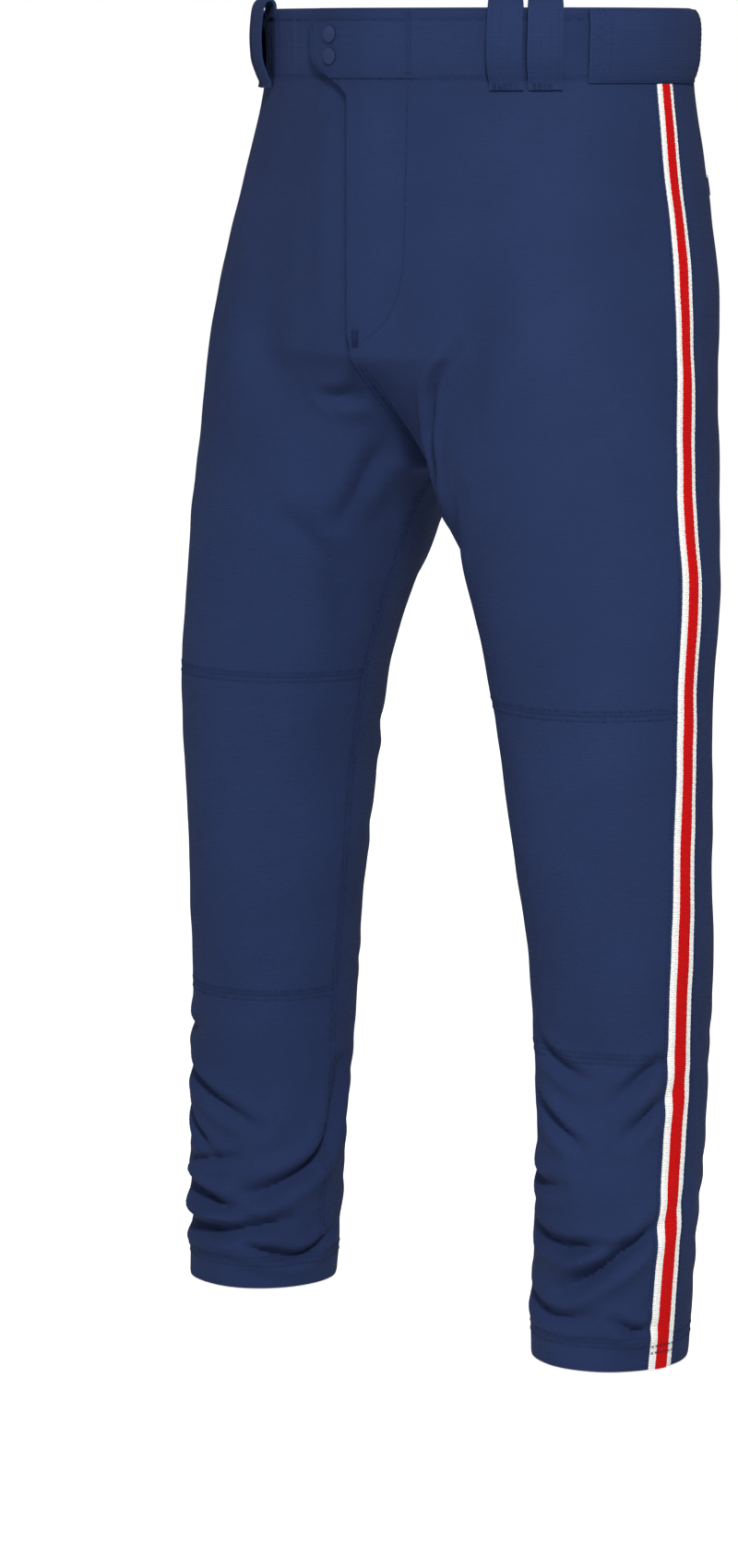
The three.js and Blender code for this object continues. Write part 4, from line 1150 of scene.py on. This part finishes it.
def build_snaps():
    """Painted snap caps on the tab, and finishes for the small hard parts."""
    for label in ("upper", "lower"):
        node = "snap_cap_" + label
        corner_low, corner_high = (Vector(c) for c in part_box(node))
        middle = (corner_low + corner_high) / 2
        bpy.ops.object.select_all(action="DESELECT")
        turn = math.atan2(middle.x / WAIST_HALF_WIDTH**2, -middle.y / WAIST_HALF_DEPTH**2)
        bpy.ops.mesh.primitive_cylinder_add(
            vertices=48, radius=CAP_RADIUS, depth=CAP_DEPTH, location=middle,
            rotation=(math.pi / 2, 0, turn),
        )
        cap = bpy.context.object
        cap.name = f"snap_button_{label}"
        bpy.ops.object.mode_set(mode="EDIT")
        bpy.ops.mesh.select_all(action="SELECT")
        bpy.ops.mesh.bevel(offset=CAP_ROUNDING, segments=3, affect="EDGES")
        bpy.ops.object.mode_set(mode="OBJECT")
        bpy.ops.object.transform_apply(location=True, rotation=True, scale=True)
        finish_cloth(cap)
        place(cap, "fly_cover", enamel(), "snap_paint", node)
    kept = {
        "snap_socket_upper": metal, "snap_socket_lower": metal, "snap_stud_upper": metal,
        "snap_stud_lower": metal, "zip_slider": metal, "zip_pull": metal, "zip_bottom_stop": metal,
        "zip_top_stop_left": metal, "zip_top_stop_right": metal,
        "zip_teeth_left": tooth_plastic, "zip_teeth_right": tooth_plastic,
    }
    for node, finish in kept.items():
        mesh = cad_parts[node].data
        mesh.materials.clear()
        mesh.materials.append(finish())


# ---------- rows of stitches ----------


def row_down(side, distance_t, top, bottom, t_of, height=0.3):
    """A row that follows a seam downwards at a distance from it, in millimetres of cloth."""
    z = np.arange(top, bottom, -2.0)
    t = t_of(z) + distance_t / half_girth(z)
    return line_on_cloth(side, z, t, height)


def row_across(side, z, first_t, last_t, height=0.3):
    t = np.linspace(first_t, last_t, 160)
    return line_on_cloth(side, np.full(t.shape, float(z)), t, height)


def bar_tack(side, z, t, width, length, height, pitch=0.9):
    """A dense patch of short threads lying across, one under another."""
    runs = []
    speed = float(half_girth(z))
    for k in range(int(length / pitch)):
        zz = z - k * pitch
        reach = width / 2 / speed
        runs.append(line_on_cloth(side, np.full(5, zz), t + np.linspace(-reach, reach, 5), height))
    return runs


# distances of the rows of stitches from their seams
KNEE_ROWS = (3.4, -3.4)
FRONT_SEAM_ROWS = (2.8, 7.2)
SIDE_SEAM_ROWS = (-12.6, 12.6)
BRAID_ROWS = (-8.6, 8.6)
HEM_ROWS = (HEM_TOP_Z - 3.2, HEM_TOP_Z + 3.0)


def build_leg_stitches():
    for label, side in SIDES:
        runs = []
        for seam_z in (KNEE_TOP_Z, KNEE_END_Z):
            first, last = -0.99, float(side_seam(seam_z)) - 0.05
            for offset in KNEE_ROWS:
                runs.append(row_across(side, seam_z + offset, first, last))
        for z in HEM_ROWS:
            runs.append(row_across(side, z, -0.995, 0.995))
        inseam = lambda z: np.full(z.shape, -1.0)
        back_seam = lambda z: np.full(z.shape, 1.0)
        runs.append(row_down(side, 2.6, CROTCH_Z - 6, HEM_TOP_Z + 4, inseam))
        runs.append(row_down(side, -2.6, CROTCH_Z - 6, HEM_TOP_Z + 4, back_seam))
        for offset in FRONT_SEAM_ROWS:
            runs.append(row_down(side, offset, FLY_END_Z - 6, CROTCH_Z + 4, inseam))
        runs.append(row_down(side, -3.2, -BAND_HEIGHT - 4, CROTCH_Z + 4, back_seam))
        for offset in SIDE_SEAM_ROWS:
            runs.append(row_down(side, offset, -BAND_HEIGHT - 8, HEM_TOP_Z + 4, side_seam, 0.25))
        speed = float(half_girth(HEM_TOP_Z))
        for z in (HEM_TOP_Z - 3.2, HEM_TOP_Z - 8.0):
            middle = float(side_seam(z))
            runs.append(row_across(side, z, middle - 10.5 / speed, middle + 10.5 / speed, 2.65))
        runs.append(row_across(side, -119.0, 0.41, 0.77, 2.2))
        runs.append(row_across(side, -133.4, 0.395, 0.785, 0.3))
        for t in (0.402, 0.778):
            runs += bar_tack(side, -117, t, 4, 15, 2.0)
        stitch_mesh("leg_stitches_" + label, runs, "root")
        edges = []
        for offset in BRAID_ROWS:
            edges.append(row_down(side, offset, -BAND_HEIGHT - 6, HEM_Z + 3, side_seam, 1.35))
        braid_stitches = stitch_mesh("braid_stitches_" + label, edges, "root", 2.2, 0.8, 0.55, 0.1)
        braid_stitches.data.materials[0] = white_knit()


J_STITCH = [(-51, 45), (-154, 43.5), (-180, 42), (-198, 38), (-214, 30), (-224, 20), (-230, 11)]


def build_fly_stitches():
    line = curve_points(J_STITCH, steps=12)
    flap = [line_on_cloth(1, line[:, 0], t_at_x(line[:, 1], line[:, 0]), 0.3)]
    row = np.arange(-3.0, -BAND_HEIGHT + 1, -1.5)
    flap.append(line_on_cloth(1, row, t_at_x(47.0, row), 1.25))
    flap.append(line_on_cloth(1, row, t_at_x(44.6, row), 1.25))
    upper, slant = np.arange(-10, TAB_SLANT_TOP_Z, -2.0), np.arange(TAB_SLANT_TOP_Z, -47, -1.0)
    edge_z = np.concatenate([upper, slant])
    flap.append(line_on_cloth(1, edge_z, t_at_x(free_edge_x(edge_z) + 3.2, edge_z), 1.25))
    obj = stitch_mesh("fly_cover_stitches", flap, None)
    across_fly(obj)
    tack = bar_tack(1, FLY_END_Z + 16, float(t_at_x(5.5, FLY_END_Z + 10)), 6.5, 13, 0.35)
    across_fly(stitch_mesh("fly_bar_tack", tack, None, 6.2, 0.3, 0.8, 0.35))


def band_rows(side, first, last, height):
    runs = []
    for z in BAND_ROWS:
        t = np.linspace(first, last, 200)
        runs.append(line_on_cloth(side, np.full(t.shape, z), t, height))
    return runs


def build_band_stitches():
    left = band_rows(1, float(t_at_x(50.0, -20.0)), 0.99, -0.35)
    right = band_rows(-1, -1.1, 0.99, -0.35)
    stitch_mesh("band_stitches_left", left, "root")
    stitch_mesh("band_stitches_right", right, "root")
    x_row = np.linspace(44, -36, 80)
    tab = line_on_cloth(1, np.full(x_row.shape, -8.0), t_at_x(x_row, -8.0), 0.8)
    stitch_mesh("tab_stitches", [tab], "fly_cover")


def strap_runs(side, middle, path, offsets, lift):
    """Rows of stitches along a strap, one for each distance from its middle."""
    line = curve_points(path, steps=5)
    t0 = middle / 90
    runs = []
    for offset in offsets:
        t = np.full(len(line), t0 + offset / strap_speed(t0))
        base = strap_points(side, line[:, 1], t, line[:, 0] + lift)
        out = strap_points(side, line[:, 1], t, line[:, 0] + lift + 1.0) - base
        runs.append((base, out))
    return runs


def zigzag_run(side, middle, path, near, far):
    """One row that swings between two distances from a strap's middle."""
    line = curve_points(path, steps=5)
    rows = np.interp(np.linspace(0, len(line) - 1, 25), np.arange(len(line)), np.arange(len(line)))
    height = np.interp(rows, np.arange(len(line)), line[:, 0])
    z = np.interp(rows, np.arange(len(line)), line[:, 1])
    t0 = middle / 90
    t = t0 + np.where(np.arange(25) % 2, near, far) / strap_speed(t0)
    base = strap_points(side, z, t, height + 0.02)
    return base, strap_points(side, z, t, height + 1.02) - base


def build_strap_stitches():
    for label, side in SIDES:
        runs = []
        for forward in LOOP_DEGREES.values():
            runs += strap_runs(side, -forward, LOOP_PATH[:9], (-8.6, -3.0, 3.0, 8.6), 0.02)
            speed = float(half_girth(-50.0))
            for k in range(8):
                z = -50.6 - k * 0.75
                t = -forward / 90 + np.linspace(-9, 9, 7) / speed
                runs.append(line_on_cloth(side, np.full(7, z), t, 2.55))
        runs += strap_runs(side, 0, TUNNEL_PATH, (-57.6, -46.0, 46.0, 57.6), 0.02)
        for end in (-1, 1):
            runs.append(zigzag_run(side, 0, TUNNEL_PATH, end * 48.5, end * 55.0))
        t = np.linspace(-60, 60, 70) / float(half_girth(-50.0))
        runs.append(line_on_cloth(side, np.full(t.shape, -50.2), t, 1.75))
        stitch_mesh("strap_stitches_" + label, runs, "root")
    back = strap_runs(1, 90, TUNNEL_PATH, (-65.6, -63.2, 63.2, 65.6), 0.02)
    stitch_mesh("strap_stitches_back", back, "root")


# ---------- stage ----------

CAMERA_AZIMUTH = 42.0
CAMERA_PITCH = 8.9
CAMERA_DISTANCE = 3.41
CAMERA_SIDE = -0.077
CAMERA_HEIGHT = -0.025
CAMERA_LENS = 108.44
FLOOR_Z = HEM_Z * M - 0.001


def area_light(name, location, target, size, power, color=(1, 1, 1)):
    data = bpy.data.lights.new(name, "AREA")
    data.shape = "RECTANGLE"
    data.size, data.size_y = size
    data.energy = power
    data.color = color
    light = bpy.data.objects.new(name, data)
    light.location = location
    light.rotation_euler = (Vector(target) - Vector(location)).to_track_quat("-Z", "Y").to_euler()
    bpy.context.scene.collection.objects.link(light)
    return light


def build_backdrop(tree):
    """White where the camera sees it, softer where it lights the cloth."""
    shown = tree.nodes["Background"]
    shown.inputs["Color"].default_value = (1, 1, 1, 1)
    shown.inputs["Strength"].default_value = 1.0
    ambient = tree.nodes.new("ShaderNodeBackground")
    ambient.inputs["Color"].default_value = (0.93, 0.96, 1.0, 1)
    ambient.inputs["Strength"].default_value = 0.3
    rays = tree.nodes.new("ShaderNodeLightPath")
    mix = tree.nodes.new("ShaderNodeMixShader")
    tree.links.new(rays.outputs["Is Camera Ray"], mix.inputs[0])
    tree.links.new(ambient.outputs[0], mix.inputs[1])
    tree.links.new(shown.outputs[0], mix.inputs[2])
    tree.links.new(mix.outputs[0], tree.nodes["World Output"].inputs["Surface"])


def build_stage():
    bpy.ops.mesh.primitive_plane_add(size=90, location=(0, 0, FLOOR_Z))
    floor = bpy.context.object
    floor.name = "floor"
    material = bpy.data.materials.new("Pale floor")
    material.use_nodes = True
    shader = material.node_tree.nodes["Principled BSDF"]
    shader.inputs["Base Color"].default_value = (0.9, 0.9, 0.9, 1)
    shader.inputs["Roughness"].default_value = 0.9
    shader.inputs["Emission Color"].default_value = (1, 1, 1, 1)
    rays = material.node_tree.nodes.new("ShaderNodeLightPath")
    glow = math_node(material.node_tree.nodes, "MULTIPLY", rays.outputs["Is Camera Ray"], 0.75)
    material.node_tree.links.new(glow, shader.inputs["Emission Strength"])
    floor.data.materials.append(material)
    turn, pitch = math.radians(CAMERA_AZIMUTH), math.radians(CAMERA_PITCH)
    camera = bpy.data.objects.new("camera", bpy.data.cameras.new("camera"))
    bpy.context.scene.collection.objects.link(camera)
    camera.location = (
        CAMERA_DISTANCE * math.sin(turn) + CAMERA_SIDE * math.cos(turn),
        -CAMERA_DISTANCE * math.cos(turn) + CAMERA_SIDE * math.sin(turn),
        CAMERA_HEIGHT,
    )
    level = math.cos(pitch)
    forward = Vector((-math.sin(turn) * level, math.cos(turn) * level, -math.sin(pitch)))
    camera.rotation_euler = forward.to_track_quat("-Z", "Y").to_euler()
    camera.data.lens = CAMERA_LENS
    camera.data.clip_end = 200
    bpy.context.scene.camera = camera
    world = bpy.context.scene.world or bpy.data.worlds.new("World")
    bpy.context.scene.world = world
    world.use_nodes = True
    build_backdrop(world.node_tree)
    aim = (0, 0, -0.45)
    lights = [
        area_light("key", (2.5, -2.5, 2.0), aim, (0.7, 0.7), 205, (1.0, 1.0, 0.94)),
        area_light("fill", (-1.6, -3.2, 0.6), aim, (1.6, 2.2), 26, (0.88, 0.93, 1.0)),
        area_light("rim", (-1.6, 2.6, 1.6), aim, (1.4, 1.4), 10),
    ]
    bpy.context.scene.view_settings.view_transform = "Standard"


# ---------- add-on ----------


class PANTS_OT_fronts(bpy.types.Operator):
    """Adds the two front panels"""

    bl_idname = "pants.fronts"
    bl_label = "Fronts"
    bl_options = {"REGISTER", "UNDO"}

    def execute(self, context):
        build_fronts()
        return {"FINISHED"}


class PANTS_OT_lower_legs(bpy.types.Operator):
    """Adds the knee and shin panels"""

    bl_idname = "pants.lower_legs"
    bl_label = "Lower legs"
    bl_options = {"REGISTER", "UNDO"}

    def execute(self, context):
        build_lower_legs()
        return {"FINISHED"}


class PANTS_OT_backs(bpy.types.Operator):
    """Adds the two back panels"""

    bl_idname = "pants.backs"
    bl_label = "Backs"
    bl_options = {"REGISTER", "UNDO"}

    def execute(self, context):
        build_backs()
        return {"FINISHED"}


class PANTS_OT_hems(bpy.types.Operator):
    """Adds the turned-up hems"""

    bl_idname = "pants.hems"
    bl_label = "Hems"
    bl_options = {"REGISTER", "UNDO"}

    def execute(self, context):
        build_hems()
        return {"FINISHED"}


class PANTS_OT_linings(bpy.types.Operator):
    """Adds the hidden layers at the knees, pockets and fly"""

    bl_idname = "pants.linings"
    bl_label = "Linings"
    bl_options = {"REGISTER", "UNDO"}

    def execute(self, context):
        build_linings()
        return {"FINISHED"}


class PANTS_OT_waistband(bpy.types.Operator):
    """Adds the waistband, its elastic and its label"""

    bl_idname = "pants.waistband"
    bl_label = "Waistband"
    bl_options = {"REGISTER", "UNDO"}

    def execute(self, context):
        build_waistband()
        return {"FINISHED"}


class PANTS_OT_straps(bpy.types.Operator):
    """Adds the belt loops and tunnels"""

    bl_idname = "pants.straps"
    bl_label = "Straps"
    bl_options = {"REGISTER", "UNDO"}

    def execute(self, context):
        build_straps()
        return {"FINISHED"}


class PANTS_OT_braid(bpy.types.Operator):
    """Adds the striped braid down each side"""

    bl_idname = "pants.braid"
    bl_label = "Braid"
    bl_options = {"REGISTER", "UNDO"}

    def execute(self, context):
        build_braid()
        return {"FINISHED"}


class PANTS_OT_pockets(bpy.types.Operator):
    """Adds the back pockets' welts"""

    bl_idname = "pants.pockets"
    bl_label = "Pockets"
    bl_options = {"REGISTER", "UNDO"}

    def execute(self, context):
        build_pockets()
        return {"FINISHED"}


class PANTS_OT_snaps(bpy.types.Operator):
    """Adds the snap caps and finishes the small hard parts"""

    bl_idname = "pants.snaps"
    bl_label = "Snaps and zip"
    bl_options = {"REGISTER", "UNDO"}

    def execute(self, context):
        build_snaps()
        return {"FINISHED"}


class PANTS_OT_leg_stitches(bpy.types.Operator):
    """Adds the stitching of the legs"""

    bl_idname = "pants.leg_stitches"
    bl_label = "Leg stitches"
    bl_options = {"REGISTER", "UNDO"}

    def execute(self, context):
        build_leg_stitches()
        return {"FINISHED"}


class PANTS_OT_fly_stitches(bpy.types.Operator):
    """Adds the stitching of the fly"""

    bl_idname = "pants.fly_stitches"
    bl_label = "Fly stitches"
    bl_options = {"REGISTER", "UNDO"}

    def execute(self, context):
        build_fly_stitches()
        return {"FINISHED"}


class PANTS_OT_band_stitches(bpy.types.Operator):
    """Adds the stitching of the waistband"""

    bl_idname = "pants.band_stitches"
    bl_label = "Band stitches"
    bl_options = {"REGISTER", "UNDO"}

    def execute(self, context):
        build_band_stitches()
        return {"FINISHED"}


class PANTS_OT_strap_stitches(bpy.types.Operator):
    """Adds the stitching of the loops and tunnels"""

    bl_idname = "pants.strap_stitches"
    bl_label = "Strap stitches"
    bl_options = {"REGISTER", "UNDO"}

    def execute(self, context):
        build_strap_stitches()
        return {"FINISHED"}


class PANTS_OT_stage(bpy.types.Operator):
    """Adds the floor, the lights and the camera"""

    bl_idname = "pants.stage"
    bl_label = "Stage"
    bl_options = {"REGISTER", "UNDO"}

    def execute(self, context):
        build_stage()
        return {"FINISHED"}


STEPS = [
    PANTS_OT_fronts, PANTS_OT_lower_legs, PANTS_OT_backs, PANTS_OT_hems, PANTS_OT_linings,
    PANTS_OT_waistband, PANTS_OT_straps, PANTS_OT_braid, PANTS_OT_pockets, PANTS_OT_snaps,
    PANTS_OT_leg_stitches, PANTS_OT_fly_stitches, PANTS_OT_band_stitches, PANTS_OT_strap_stitches,
    PANTS_OT_stage,
]


class PANTS_PT_sidebar(bpy.types.Panel):
    """The garment's settings and one button for each step."""

    bl_label = "Baseball pants"
    bl_idname = "PANTS_PT_sidebar"
    bl_space_type = "VIEW_3D"
    bl_region_type = "UI"
    bl_category = "Pants"

    def draw(self, context):
        column = self.layout.column()
        for name in ("navy", "white", "red", "cloth", "grid"):
            column.prop(context.scene.pants_settings, name)
        for step in STEPS:
            column.operator(step.bl_idname)


CLASSES = [PantsSettings, *STEPS, PANTS_PT_sidebar]


def register():
    for cls in CLASSES:
        bpy.utils.register_class(cls)
    bpy.types.Scene.pants_settings = bpy.props.PointerProperty(type=PantsSettings)


def unregister():
    del bpy.types.Scene.pants_settings
    for cls in reversed(CLASSES):
        bpy.utils.unregister_class(cls)


def main():
    register()
    for step in STEPS:
        getattr(bpy.ops.pants, step.bl_idname.split(".")[1])()


if __name__ == "__main__":
    main()
